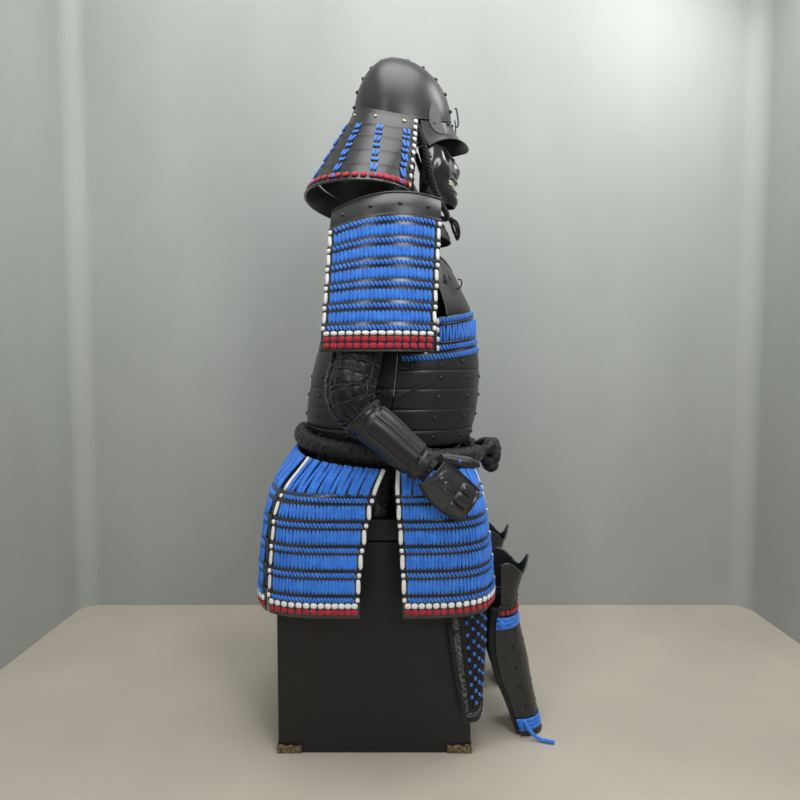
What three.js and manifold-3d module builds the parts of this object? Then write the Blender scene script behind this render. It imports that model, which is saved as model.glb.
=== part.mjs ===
// Suit of samurai armour worn by a plain inner stand on its own lacquered armour box.
// Millimetres, +Z up. The armour faces -Y and its right side is -X.
// The origin is the centre of the box's underside.
import * as THREE from "three";
import { mergeVertices } from "three/addons/utils/BufferGeometryUtils.js";
import Module from "manifold-3d";

// Driving dimensions
const box = { half: 203, height: 500, lidHeight: 45, wall: 10, lidProud: 2 };
const corner = { leg: 52, height: 22, plate: 2.4 };
const seam = 0.4; // gap left between pieces that touch
const plate = 2.4; // lacquered plate
const lamePlate = 2; // a laced lame of the neck guard or the cuirass
const panelPlate = 3; // lame and lacing of a hung panel
const cloth = 2;
const stand = { foot: [150, 150, 12], post: 36, barLength: 250, bar: 30, barZ: 1005, y: -20 };
const head = { y: -58, z: 1398, half: [62, 76, 92], neck: 19 };
const bowl = { half: 96, apexY: -38, apexZ: 1515, front: 131, back: 87 };
const cuirassRoundness = 2.25;
const sash = { radius: 18, half: 205.5, front: -236, back: 172.5, knotAngle: 15, roundness: 2.25 };
const limbX = 262; // how far out the forearms are held

const slots = {
  box: { color: 0x0b0b0c, roughness: 0.3, metalness: 0 },
  bronze: { color: 0x5b4a33, roughness: 0.5, metalness: 1 },
  wood: { color: 0x6b5138, roughness: 0.6, metalness: 0 },
  lacquer: { color: 0x121314, roughness: 0.42, metalness: 0.1 },
  mask: { color: 0x0a0a0b, roughness: 0.2, metalness: 0.1 },
  wire: { color: 0x17181a, roughness: 0.4, metalness: 0.8 },
  lacing: { color: 0x2e6ede, roughness: 0.8, metalness: 0 },
  satin: { color: 0x0d0d0f, roughness: 0.5, metalness: 0 },
  crepe: { color: 0x141416, roughness: 0.85, metalness: 0 },
  cord: { color: 0x0e0e10, roughness: 0.8, metalness: 0 },
};
const materials = Object.fromEntries(
  Object.entries(slots).map(([name, look]) => [name, new THREE.MeshStandardMaterial(look)]),
);

const wasm = await Module();
wasm.setup();
const suit = new THREE.Group();
const vec = (x, y, z) => new THREE.Vector3(x, y, z);
const degrees = THREE.MathUtils.degToRad;
const mix = THREE.MathUtils.lerp;

function add(name, geometry, slot) {
  const mesh = new THREE.Mesh(geometry, materials[slot]);
  mesh.name = name;
  suit.add(mesh);
}

// Adds the right-hand piece and its mirror image.
function addPair(name, geometry, slot) {
  add(name + "_right", geometry, slot);
  const other = geometry.index ? geometry.toNonIndexed() : geometry.clone();
  const at = other.getAttribute("position");
  for (let i = 0; i < at.count; i += 3) {
    const [a, b, c] = [0, 1, 2].map((k) => vec().fromBufferAttribute(at, i + k));
    [a, c, b].forEach((p, k) => at.setXYZ(i + k, -p.x, p.y, p.z));
  }
  add(name + "_left", other, slot);
}

// One smooth value through [place, value] pairs, which are listed with place rising.
function smooth(pairs) {
  const slope = (i) => {
    const [a, b] = [pairs[Math.max(i - 1, 0)], pairs[Math.min(i + 1, pairs.length - 1)]];
    return (b[1] - a[1]) / (b[0] - a[0]);
  };
  return (at) => {
    const x = THREE.MathUtils.clamp(at, pairs[0][0], pairs.at(-1)[0]);
    const i = Math.min(pairs.length - 2, Math.max(0, pairs.findIndex((p) => p[0] > x) - 1));
    const last = x >= pairs.at(-1)[0] ? pairs.length - 2 : i;
    const [[x0, y0], [x1, y1]] = [pairs[last], pairs[last + 1]];
    const [h, t] = [x1 - x0, (x - x0) / (x1 - x0)];
    const [m0, m1] = [slope(last) * h, slope(last + 1) * h];
    const rise = (y1 - y0) * t * t * (3 - 2 * t);
    return y0 + rise + m0 * t * (1 - t) * (1 - t) - m1 * t * t * (1 - t);
  };
}

// A closed mesh from triangles of points: shared points are merged and flat triangles dropped.
function closedMesh(triangles) {
  const soup = new THREE.BufferGeometry().setFromPoints(triangles.flat());
  const merged = mergeVertices(soup, 1e-3);
  const from = merged.index.array;
  const kept = [];
  for (let i = 0; i < from.length; i += 3) {
    const [a, b, c] = [from[i], from[i + 1], from[i + 2]];
    if (a !== b && b !== c && a !== c) kept.push(a, b, c);
  }
  merged.setIndex(kept);
  if (volume(merged) < 0) {
    for (let i = 0; i < kept.length; i += 3) [kept[i + 1], kept[i + 2]] = [kept[i + 2], kept[i + 1]];
    merged.setIndex(kept);
  }
  return merged;
}

function volume(geometry) {
  const at = geometry.getAttribute("position");
  let sum = 0;
  for (let i = 0; i < geometry.index.count; i += 3) {
    const [a, b, c] = [0, 1, 2].map((k) => vec().fromBufferAttribute(at, geometry.index.getX(i + k)));
    sum += a.dot(b.cross(c));
  }
  return sum;
}

// A wall of one thickness under the surface pointAt(u, v), u and v from 0 to 1. `around` joins u = 1
// to u = 0, and `crown` draws v = 1 together to one point. `side` is 1 or -1: which face is the outer.
function wall(pointAt, nu, nv, thickness, { around = false, crown = false, side = 1 } = {}) {
  const step = 1e-3;
  const normal = (u, v) => {
    const [u0, u1] = around ? [u - step, u + step] : [Math.max(u - step, 0), Math.min(u + step, 1)];
    const top = crown ? Math.min(v, 0.995) : v;
    const [v0, v1] = [Math.max(top - step, 0), Math.min(top + step, 1)];
    const alongU = pointAt(u1, top).sub(pointAt(u0, top));
    return alongU.cross(pointAt(u, v1).sub(pointAt(u, v0))).normalize();
  };
  const columns = around ? nu : nu + 1;
  const outer = [];
  const inner = [];
  for (let j = 0; j <= nv; j++) {
    const v = j / nv;
    outer.push(Array.from({ length: columns }, (_, i) => pointAt(i / nu, v)));
    inner.push(outer[j].map((p, i) => p.clone().addScaledVector(normal(i / nu, v), -side * thickness)));
  }
  if (crown) {
    const middle = inner[nv].reduce((sum, p) => sum.add(p), vec(0, 0, 0)).divideScalar(columns);
    inner[nv] = inner[nv].map(() => middle);
  }
  const triangles = [];
  const quad = (a, b, c, d) => triangles.push([a, b, c], [a, c, d]);
  for (let j = 0; j < nv; j++) {
    for (let i = 0; i < nu; i++) {
      const k = (i + 1) % columns;
      quad(outer[j][i], outer[j][k], outer[j + 1][k], outer[j + 1][i]);
      quad(inner[j][k], inner[j][i], inner[j + 1][i], inner[j + 1][k]);
    }
    if (!around) {
      quad(inner[j][0], outer[j][0], outer[j + 1][0], inner[j + 1][0]);
      quad(outer[j][nu], inner[j][nu], inner[j + 1][nu], outer[j + 1][nu]);
    }
  }
  for (let i = 0; i < nu; i++) {
    const k = (i + 1) % columns;
    quad(inner[0][i], inner[0][k], outer[0][k], outer[0][i]);
    if (!crown) quad(outer[nv][i], outer[nv][k], inner[nv][k], inner[nv][i]);
  }
  return closedMesh(triangles);
}

// A round bar along a curve through the points.
function bar(points, radius, steps, sides = 8) {
  const circle = new THREE.Shape().absarc(0, 0, radius, 0, 2 * Math.PI);
  const path = new THREE.CatmullRomCurve3(points);
  const made = new THREE.ExtrudeGeometry(circle, {
    steps,
    curveSegments: sides / 2,
    bevelEnabled: false,
    extrudePath: path,
  });
  return plain(made);
}

// Positions only, with shared points merged.
function plain(geometry) {
  const bare = geometry.index ? geometry.toNonIndexed() : geometry;
  const at = bare.getAttribute("position");
  const points = Array.from({ length: at.count }, (_, i) => vec().fromBufferAttribute(at, i));
  return closedMesh(Array.from({ length: at.count / 3 }, (_, i) => points.slice(3 * i, 3 * i + 3)));
}

function solid(geometry) {
  const bare = geometry.index && !geometry.getAttribute("normal") ? geometry : plain(geometry);
  return new wasm.Manifold(
    new wasm.Mesh({
      numProp: 3,
      vertProperties: new Float32Array(bare.getAttribute("position").array),
      triVerts: new Uint32Array(bare.index.array),
    }),
  );
}

function fromSolid(made) {
  const mesh = made.getMesh();
  const geometry = new THREE.BufferGeometry();
  geometry.setAttribute("position", new THREE.BufferAttribute(mesh.vertProperties, 3));
  return geometry.setIndex(new THREE.BufferAttribute(mesh.triVerts, 1));
}

function block(width, depth, height, x, y, z) {
  return new THREE.BoxGeometry(width, depth, height).translate(x, y, z + height / 2);
}

// A rounded ring about the body: angle 0 is the front, 90 the right side, 180 the back.
function ring({ half, front, back, roundness = 2 }, angle, z) {
  const [s, c] = [Math.sin(degrees(angle)), Math.cos(degrees(angle))];
  const deep = (back - front) / 2;
  const spread = Math.abs(s / half) ** roundness + Math.abs(c / deep) ** roundness;
  const reach = spread ** (-1 / roundness);
  return vec(-reach * s, (front + back) / 2 - reach * c, z);
}

// ---- Armour box and inner stand ----

function armourBox() {
  const [half, wallT] = [box.half, box.wall];
  const bodyHeight = box.height - box.lidHeight - seam;
  const tray = solid(block(2 * half, 2 * half, bodyHeight, 0, 0, 0));
  const hollow = solid(block(2 * (half - wallT), 2 * (half - wallT), bodyHeight, 0, 0, wallT));
  add("box_body", fromSolid(tray.subtract(hollow)), "box");
  const lidHalf = half + box.lidProud;
  const cap = solid(block(2 * lidHalf, 2 * lidHalf, box.lidHeight, 0, 0, box.height - box.lidHeight));
  const under = solid(
    block(2 * (half - wallT), 2 * (half - wallT), box.lidHeight, 0, 0, box.height - box.lidHeight - wallT),
  );
  add("box_lid", fromSolid(cap.subtract(under)), "box");
  const inside = half + seam;
  const out = inside + corner.plate;
  const arm = half - corner.leg;
  const outline = [[out, out], [arm, out], [arm, inside], [inside, inside], [inside, arm], [out, arm]];
  for (let i = 0; i < 4; i++) {
    const shape = new THREE.Shape(outline.map(([x, y]) => new THREE.Vector2(x, y)));
    const fitting = new THREE.ExtrudeGeometry(shape, { depth: corner.height, bevelEnabled: false });
    add("box_corner_" + (i + 1), plain(fitting.translate(0, 0, 1).rotateZ((i * Math.PI) / 2)), "bronze");
  }
}

function innerStand() {
  const [w, d, h] = stand.foot;
  const foot = solid(block(w, d, h, 0, stand.y, box.height + seam));
  const postBase = box.height + seam + h / 2;
  const post = solid(block(stand.post, stand.post, stand.barZ - seam - postBase, 0, stand.y, postBase));
  add("stand_post", fromSolid(foot.add(post)), "wood");
  add("stand_crossbar", block(stand.barLength, stand.bar, stand.bar, 0, stand.y, stand.barZ), "wood");
  const outline = [[0, stand.barZ + stand.bar + seam]];
  outline.push([head.neck, outline[0][1]], [head.neck, head.z - head.half[2] * 0.95]);
  for (let a = -60; a < 90; a += 15) {
    outline.push([head.half[0] * Math.cos(degrees(a)), head.z + head.half[2] * Math.sin(degrees(a))]);
  }
  outline.push([0, head.z + head.half[2]]);
  const turned = new THREE.LatheGeometry(outline.map(([r, z]) => new THREE.Vector2(r, z)), 20);
  turned.rotateX(Math.PI / 2);
  add("stand_head", plain(leanBack(turned)), "wood");
}

// Lengthens the head from front to back and carries it forward from the post to under the helmet.
function leanBack(geometry) {
  const at = geometry.getAttribute("position");
  const from = stand.barZ + stand.bar;
  for (let i = 0; i < at.count; i++) {
    const share = THREE.MathUtils.clamp((at.getZ(i) - from) / (head.z - from), 0, 1);
    at.setY(i, (at.getY(i) * mix(head.half[0], head.half[1], share)) / head.half[0] + mix(stand.y, head.y, share));
  }
  return geometry;
}

// ---- Helmet ----

const bowlRimZ = smooth([[0, 1373], [45, 1352], [70, 1350], [110, 1364], [150, 1384], [180, 1391]]);
const fold = (angle) => Math.abs(((angle + 540) % 360) - 180); // 0 at the front, 180 at the back

function bowlRim(angle, out = 0) {
  const reach = fold(angle) < 90 ? bowl.front : bowl.back;
  const [s, c] = [Math.sin(degrees(angle)), Math.cos(degrees(angle))];
  return vec(-(bowl.half + out) * s, bowl.apexY - (reach + out) * c, bowlRimZ(fold(angle)));
}

function helmetBowl() {
  const surface = (u, v) => {
    const rim = bowlRim(360 * u);
    const rise = degrees(90 * v);
    return vec(
      rim.x * Math.cos(rise),
      bowl.apexY + (rim.y - bowl.apexY) * Math.cos(rise),
      rim.z + (bowl.apexZ - rim.z) * Math.sin(rise),
    );
  };
  return wall(surface, 28, 7, plate, { around: true, crown: true, side: -1 });
}

const brim = { halfAngle: 63, tipY: -213, tipZ: 1312, half: 103, arch: 9, ears: 26, gap: 1.2, droop: 5 };

function helmetBrim() {
  const surface = (u, v) => {
    const angle = mix(-brim.halfAngle, brim.halfAngle, u);
    const root = bowlRim(angle, brim.gap);
    const [s, c] = [Math.sin(degrees(angle)), Math.cos(degrees(angle))];
    const archZ = brim.arch * Math.sin(degrees(2 * angle)) ** 2 - brim.ears * (angle / brim.halfAngle) ** 4;
    const edge = vec(-brim.half * s, bowl.apexY + (brim.tipY - bowl.apexY) * c, brim.tipZ + archZ);
    const hollow = brim.droop * Math.sin(Math.PI * v);
    return root.lerp(edge, v).add(vec(0, hollow * c * 0.6, -hollow));
  };
  const peak = wall(surface, 18, 4, plate, { side: -1 });
  const wire = 1.8;
  const root = vec(0, -184, 1366);
  const hook = bar([root, vec(0, -188, 1384), vec(0, -186, 1406), vec(0, -181, 1409)], wire, 8);
  const foot = block(8, 12, 12, 0, -179, 1361);
  const made = solid(peak).add(solid(foot)).add(solid(hook)).subtract(solid(bowlKeepOut()));
  return fromSolid(made.decompose().sort((a, b) => b.volume() - a.volume())[0]);
}

// A solid a hair larger than the bowl, for cutting its neighbours back.
function bowlKeepOut() {
  const share = 1 + 0.6 / bowl.half;
  return plain(
    wall((u, v) => {
      const rim = bowlRim(360 * u);
      const rise = degrees(90 * v);
      return vec(
        rim.x * share * Math.cos(rise),
        bowl.apexY + (rim.y - bowl.apexY) * share * Math.cos(rise),
        rim.z - 1 + (bowl.apexZ - rim.z + 2) * Math.sin(rise),
      );
    }, 28, 7, 6, { around: true, crown: true, side: -1 }),
  );
}

const neckGuard = { top: 3.4, half: 220, middleY: 0, front: 105, back: 159, z: 1176, rise: 22, step: 1.1 };
const neckEnds = [65.5, 47]; // angle of the front edge, at the bowl and at the bottom
const neckShares = [0, 0.2, 0.37, 0.57, 0.77, 1];

function neckSurface(angle, share, out = 0) {
  const top = bowlRim(angle, neckGuard.top + out);
  const reach = fold(angle) < 90 ? neckGuard.front : neckGuard.back;
  const [s, c] = [Math.sin(degrees(angle)), Math.cos(degrees(angle))];
  const z = neckGuard.z + neckGuard.rise * ((1 - c) / 2) ** 2;
  const bottom = vec(-(neckGuard.half + out) * s, neckGuard.middleY - (reach + out) * c, z);
  return top.lerp(bottom, share);
}

function neckLame(i) {
  const [from, to] = [neckShares[i], neckShares[i + 1] - 0.006];
  const surface = (u, v) => {
    const share = mix(from, to, v);
    const edge = mix(neckEnds[0], neckEnds[1], share);
    return neckSurface(mix(edge, 360 - edge, u), share, neckGuard.step * i);
  };
  return wall(surface, 22, 1, lamePlate, { side: -1 });
}

const chinCordPoints = [
  vec(-92, -92, 1334), vec(-91, -104, 1300), vec(-88, -116, 1255), vec(-80, -128, 1210), vec(-60, -146, 1176),
  vec(-28, -160, 1163), vec(0, -163, 1160), vec(28, -160, 1163), vec(60, -146, 1176), vec(80, -128, 1210),
  vec(88, -116, 1255), vec(91, -104, 1300), vec(92, -92, 1334),
];

const mask = { top: 1290, chin: 1180, halfAngle: 100, middleY: -112 };
const maskHalf = smooth([[0, 40], [0.2, 60], [0.5, 71], [1, 75]]); // by height, from the chin up
const maskFront = smooth([[0, 70], [0.18, 73], [0.35, 68], [0.6, 66], [1, 58]]);

function faceMask() {
  const surface = (u, v) => {
    const angle = mix(-mask.halfAngle, mask.halfAngle, u);
    const [s, c] = [Math.sin(degrees(angle)), Math.cos(degrees(angle))];
    const lift = 14 * s * s; // the edge under the eyes rises to the ears
    const z = mix(mask.chin + 0.5 * lift, mask.top + lift, v);
    const nose = 16 * Math.exp(-((angle / 15) ** 2) - ((v - 0.72) / 0.17) ** 2);
    const cheek = 7 * Math.exp(-(((Math.abs(angle) - 48) / 18) ** 2) - ((v - 0.66) / 0.2) ** 2);
    const mouth = -9 * Math.exp(-((angle / 26) ** 2) - ((v - 0.38) / 0.09) ** 2);
    const relief = nose + cheek + mouth;
    return vec(-(maskHalf(v) + cheek) * s, mask.middleY - (maskFront(v) + relief) * Math.max(c, -0.2), z);
  };
  return wall(surface, 18, 12, plate, { side: -1 });
}

const throat = { halfAngle: 104, top: 1149, bottom: 1100, climb: 80, lift: 14 };

function throatGuard() {
  const surface = (u, v) => {
    const angle = mix(-throat.halfAngle, throat.halfAngle, u);
    const [s, c] = [Math.sin(degrees(angle)), Math.cos(degrees(angle))];
    const share = Math.abs(angle) / throat.halfAngle;
    const z = mix(throat.top + throat.climb * share ** 3, throat.bottom + throat.lift * share ** 2, v);
    return vec(-mix(80, 94, v) * s, -92 - mix(56, 82, v) * c, z);
  };
  return wall(surface, 16, 2, lamePlate, { side: -1 });
}

// ---- Cuirass ----

const cuirassHalf = smooth([[646, 184], [700, 190], [780, 195], [870, 190], [950, 172], [1020, 150], [1080, 128]]);
const cuirassFront = smooth([
  [646, -216], [715, -232], [780, -238], [830, -236], [872, -231], [936, -221], [977, -202], [1019, -182],
  [1062, -154],
]);
const cuirassBack = smooth([[646, 146], [664, 153], [700, 163], [772, 154], [841, 139], [950, 110], [1060, 90], [1090, 86]]);

function cuirass(angle, z) {
  const size = { half: cuirassHalf(z), front: cuirassFront(z), back: cuirassBack(z) };
  return ring({ ...size, roundness: cuirassRoundness }, angle, z);
}

function cuirassPart([fromAngle, toAngle], low, high, nu, nv, thickness = lamePlate) {
  const surface = (u, v) => {
    const angle = mix(fromAngle, toAngle, u);
    return cuirass(angle, mix(low(angle), high(angle), v));
  };
  return wall(surface, nu, nv, thickness, { side: -1 });
}

const level = (z) => () => z;
// The chest rows climb towards the front.
const climb = (z, rise) => (angle) => z + rise * Math.cos(degrees(fold(angle))) ** 2;
const waistEdges = [646.5, 681, 726, 769, 809];
const sideTop = 850; // the back lames close the side this high
const frontSpan = [-89.7, 89.7];
const backSpan = [90.4, 269.6];

function cuirassPieces() {
  for (let i = 0; i < 4; i++) {
    const [low, high] = [level(waistEdges[i]), level(waistEdges[i + 1] - seam)];
    add("front_lame_" + (5 - i), cuirassPart(frontSpan, low, high, 18, 1), "lacquer");
    const backHigh = i === 3 ? level(sideTop) : high;
    add("back_lame_" + (4 - i), cuirassPart(backSpan, low, backHigh, 18, 1), "lacquer");
  }
  const topEdge = climb(840, 24);
  add("front_lame_1", cuirassPart(frontSpan, level(809), topEdge, 18, 1), "lacquer");
  const laced = [(a) => topEdge(a) + seam, climb(912, 32)];
  add("chest_laced_lame", cuirassPart([-66, 66], ...laced, 16, 2), "lacquer");
  const neckline = (angle) => 1064 - 34 * Math.exp(-((angle / 26) ** 2));
  add("chest_plate", cuirassPart([-57, 57], (a) => climb(912, 32)(a) + seam, neckline, 16, 4), "lacquer");
  const nape = (angle) => 1086 - 22 * Math.exp(-(((angle - 180) / 26) ** 2));
  add("back_plate", cuirassPart([116, 244], level(sideTop + seam), nape, 16, 5), "lacquer");
}

function shoulderStrap() {
  const route = new THREE.CatmullRomCurve3([
    vec(0, -132, 1072), vec(0, -112, 1090), vec(0, -70, 1106), vec(0, -15, 1112), vec(0, 40, 1106), vec(0, 74, 1094),
  ]);
  const surface = (u, v) => {
    const at = route.getPoint(v);
    return vec(mix(-66, -124, u), at.y, at.z - 12 * u);
  };
  return wall(surface, 3, 12, 5, { side: 1 });
}

// ---- Skirt of hung panels, sash and waist cloth ----

const skirtHalf = smooth([[300, 261], [430, 252], [560, 240], [600, 226], [640, 204]]);
const skirtFront = smooth([[300, -262], [430, -250], [560, -231], [600, -222], [640, -212]]);
const skirtBack = smooth([[300, 254], [430, 246], [560, 226], [600, 204], [640, 176]]);
// The skirt is round at the waist and squares up where it hangs round the box.
const skirtRoundness = smooth([[300, 4.6], [515, 4.6], [560, 3.4], [600, 2.6], [640, 2.3]]);
const sashZ = (angle) => smooth([[0, 615], [90, 632], [180, 664]])(fold(angle));
const tassetBottom = 312;
const sashClear = 25;
// Side edges of each panel as angles at the sash, then at the bottom.
const tassets = [
  [-25, 25, -25, 25], [26, 81, 26, 77.8], [85.6, 134, 96.6, 134], [135, 179.4, 135, 179.4],
  [180.6, 225, 180.6, 225], [226, 274.4, 226, 263.4], [279, 334, 282.2, 334],
];

function tasset([from, to, lowFrom, lowTo]) {
  const surface = (u, v) => {
    const drawn = 1 - (1 - v) ** 2; // most of the drawing back is near the sash
    const angle = mix(mix(from, lowFrom, drawn), mix(to, lowTo, drawn), u);
    const z = mix(sashZ(angle) - sashClear, tassetBottom, v);
    const size = { half: skirtHalf(z), front: skirtFront(z), back: skirtBack(z) };
    return ring({ ...size, roundness: skirtRoundness(z) }, angle, z);
  };
  return wall(surface, 9, 6, panelPlate, { side: 1 });
}

function sashBand() {
  const points = [];
  for (let a = sash.knotAngle; a <= 360 - sash.knotAngle; a += 15) points.push(ring(sash, a, sashZ(a)));
  return bar(points, sash.radius, 34, 8);
}

function sashKnot() {
  return plain(new THREE.SphereGeometry(1, 12, 8).scale(44, 33, 49).translate(0, -265, 605));
}

function waistCloth() {
  const [top, hem] = [636, box.height + seam];
  const surface = (u, v) => {
    const angle = 360 * u;
    const pleat = 4 * v * Math.cos(degrees(12 * angle));
    const size = { half: mix(172, 190, v) + pleat, front: mix(-196, -193, v) - pleat, back: mix(148, 186, v) + pleat };
    return ring({ ...size, roundness: 2.3 }, angle, mix(top, hem, v));
  };
  return wall(surface, 48, 2, cloth, { around: true, side: -1 });
}

// ---- Shoulder guards, sleeves and hands (right side) ----

const sode = { top: 1157, bottom: 844, chord: 222, curl: 35, outTop: 236, outBottom: 286, midTop: -27, midBottom: -10 };

function sodeGuard() {
  const surface = (u, v) => {
    const across = 2 * u - 1;
    const crown = 16 * Math.max(0, 1 - v / 0.12) ** 2; // the cap plate bends in over the shoulder
    const out = mix(sode.outTop, sode.outBottom, v) - crown - sode.curl * across * across;
    const arch = (17 * across * across + 12 * across) * (1 - v) ** 1.5; // the top falls towards the back
    const y = mix(sode.midTop, sode.midBottom, v) + (sode.chord / 2) * across;
    return vec(-out, y, mix(sode.top, sode.bottom, v) - arch);
  };
  return wall(surface, 8, 8, panelPlate, { side: 1 });
}

const armPoints = [
  vec(-196, -24, 1062), vec(-206, -8, 990), vec(-222, 14, 900), vec(-237, 30, 820), vec(-254, 40, 772),
  vec(-260, 24, 727), vec(-limbX, -26, 684), vec(-limbX, -66, 648), vec(-limbX, -104, 618),
];
const armPath = new THREE.CatmullRomCurve3(armPoints);
const sleeveRadius = smooth([[0, 41], [0.3, 42], [0.5, 43], [0.57, 40], [0.64, 34], [1, 28]]);

// A point on a tube about the arm: turn 0 faces outwards and 90 faces up and forward.
function aboutArm(share, turn, radius) {
  const at = armPath.getPoint(share);
  const along = armPath.getTangent(share);
  const up = vec(-1, 0, 0).cross(along).normalize();
  const out = along.clone().cross(up).normalize();
  const a = degrees(turn);
  return at.addScaledVector(out, radius * Math.cos(a)).addScaledVector(up, radius * Math.sin(a));
}

function sleeve() {
  return wall((u, v) => aboutArm(v, 360 * u, sleeveRadius(v)), 12, 14, cloth, { around: true, side: -1 });
}

function forearmGuard() {
  const surface = (u, v) => {
    const share = mix(0.64, 0.985, v);
    return aboutArm(share, mix(-125, 125, u), mix(40.5, 33.5, v));
  };
  return wall(surface, 12, 4, plate, { side: -1 });
}

// The back of the hand is a curved plate down from the wrist, and the thumb plate lies along it.
function handGuard() {
  const route = new THREE.CatmullRomCurve3([
    vec(-262, -113, 611), vec(-257, -134, 586), vec(-250, -160, 562), vec(-240, -188, 540),
  ]);
  const frame = (v) => {
    const along = route.getTangent(v);
    const across = vec(-0.2, 0.66, -0.72).cross(along).cross(along).negate().normalize();
    return { at: route.getPoint(v), across, out: across.clone().cross(along).normalize() };
  };
  const surface = (u, v) => {
    const { at, across, out } = frame(v);
    const a = degrees(mix(-68, 68, u));
    return at.addScaledVector(across, 42 * Math.sin(a)).addScaledVector(out, 26 * Math.cos(a));
  };
  return wall(surface, 8, 4, plate, { side: 1 });
}

// ---- Thigh and shin guards (right side) ----

function thighGuard() {
  const plan = new THREE.CatmullRomCurve3([
    vec(-213, -150, 0), vec(-214, -190, 0), vec(-209, -214, 0), vec(-186, -226, 0), vec(-120, -233, 0),
    vec(-66, -233, 0), vec(-16, -228, 0),
  ]);
  const surface = (u, v) => {
    const at = plan.getPoint(mix(0.17 * v * v, 1, u));
    const bulge = 9 * Math.sin(Math.PI * v) * Math.sin(Math.PI * u);
    const hem = 78 + 62 * Math.sin((Math.PI / 2) * Math.max(0, (u - 0.22) / 0.78)) ** 1.2; // it rises towards the front
    return vec(at.x, at.y - bulge * 0.9, mix(430, hem, v));
  };
  return wall(surface, 14, 5, panelPlate, { side: -1 });
}

const shinFront = smooth([[0, -373], [46, -362], [112, -347], [176, -335], [241, -319], [285, -311], [330, -313], [410, -330]]);
const shinEdge = smooth([[0, -326], [24, -318], [80, -299], [143, -276], [204, -264], [260, -263], [312, -268], [410, -266]]); // beside the leg
const shinHalf = smooth([[0, 43], [80, 44], [200, 56], [300, 58], [410, 54]]);
const shinX = (z) => -mix(102, 125, z / 400);

function shinPart(low, high, reach, nu, nv, out = 0) {
  const surface = (u, v) => {
    const angle = mix(-reach, reach, u);
    const z = mix(low, high(angle), v);
    const size = { half: shinHalf(z) + out, front: shinFront(z) - out, back: 2 * shinEdge(z) - shinFront(z) + out };
    const at = ring({ ...size, roundness: 2.1 }, angle, z);
    return at.setX(at.x + shinX(z));
  };
  return wall(surface, nu, nv, plate, { side: -1 });
}

const kneeLobes = smooth([[0, 402], [29, 371], [74, 399], [102, 388]]);
const kneeTop = (angle) => kneeLobes(Math.abs(angle));
const shinTiePoints = [
  vec(-154, -326, 40), vec(-158, -336, 24), vec(-161, -347, 12), vec(-166, -360, 6), vec(-170, -374, 4.6),
  vec(-174, -388, 4.6),
];
const sideTiePoints = [
  vec(-203, -26, 757), vec(-207, -42, 754), vec(-207, -62, 760), vec(-203, -82, 768), vec(-197, -102, 776),
  vec(-191, -120, 784),
];

armourBox();
innerStand();
add("helmet_bowl", helmetBowl(), "lacquer");
add("helmet_brim", helmetBrim(), "lacquer");
for (let i = 0; i < neckShares.length - 1; i++) add("neck_guard_lame_" + (i + 1), neckLame(i), "lacquer");
add("chin_cord", bar(chinCordPoints, 6.5, 26), "cord");
add("face_mask", faceMask(), "mask");
add("throat_guard", throatGuard(), "lacquer");
cuirassPieces();
addPair("shoulder_strap", shoulderStrap(), "satin");
tassets.forEach((span, i) => add("tasset_" + (i + 1), tasset(span), "lacing"));
add("sash_band", sashBand(), "crepe");
add("sash_knot", sashKnot(), "crepe");
add("waist_cloth", waistCloth(), "satin");
addPair("sode", sodeGuard(), "lacing");
addPair("sleeve", sleeve(), "satin");
addPair("forearm_guard", forearmGuard(), "lacquer");
addPair("hand_guard", handGuard(), "lacquer");
addPair("thigh_guard", thighGuard(), "satin");
addPair("shin_guard", shinPart(0, level(306), 94, 14, 6), "lacquer");
addPair("knee_guard", shinPart(308, kneeTop, 90, 18, 3), "lacquer");
addPair("shin_tie", bar(shinTiePoints, 4, 10), "lacing");
add("side_tie", bar(sideTiePoints, 2, 12), "cord");

export default suit;
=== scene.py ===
# Samurai armour seated on its box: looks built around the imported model.
# Everything is worked out in millimetres and brought to metres when a piece is made.
import math

import bmesh
import bpy
from mathutils import Matrix, Vector


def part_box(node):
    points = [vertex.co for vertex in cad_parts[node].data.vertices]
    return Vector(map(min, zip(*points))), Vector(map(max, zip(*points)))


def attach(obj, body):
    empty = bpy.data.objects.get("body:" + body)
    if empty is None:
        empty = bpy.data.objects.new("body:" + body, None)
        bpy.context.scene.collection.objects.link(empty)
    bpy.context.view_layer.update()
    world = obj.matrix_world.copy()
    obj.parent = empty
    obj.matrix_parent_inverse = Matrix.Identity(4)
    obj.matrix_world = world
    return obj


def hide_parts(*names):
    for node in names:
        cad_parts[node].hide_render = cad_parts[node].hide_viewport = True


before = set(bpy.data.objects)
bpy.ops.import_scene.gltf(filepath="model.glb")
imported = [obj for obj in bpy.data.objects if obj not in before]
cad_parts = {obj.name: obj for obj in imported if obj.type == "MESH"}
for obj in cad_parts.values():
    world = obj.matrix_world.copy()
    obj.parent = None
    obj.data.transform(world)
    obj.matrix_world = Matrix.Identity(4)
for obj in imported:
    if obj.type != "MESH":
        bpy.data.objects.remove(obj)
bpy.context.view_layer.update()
mm = 0.001
scene = bpy.context.scene

# ---- camera first ----

cameraSet = {"place": (-1470.7, -54.0, 824.8), "down": 3.5, "turn": 0.0, "lens": 28.0}


def makeCamera():
    data = bpy.data.cameras.new("camera")
    data.lens = cameraSet["lens"]
    data.sensor_width = 36.0
    data.clip_end = 60.0
    camera = bpy.data.objects.new("camera", data)
    camera.location = Vector(cameraSet["place"]) * mm
    tilt = math.radians(90 - cameraSet["down"])
    camera.rotation_euler = (tilt, 0, math.radians(-90 + cameraSet["turn"]))
    scene.collection.objects.link(camera)
    scene.camera = camera


# ---- small geometry helpers ----

def lerp(a, b, t):
    return a + (b - a) * t


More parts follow.
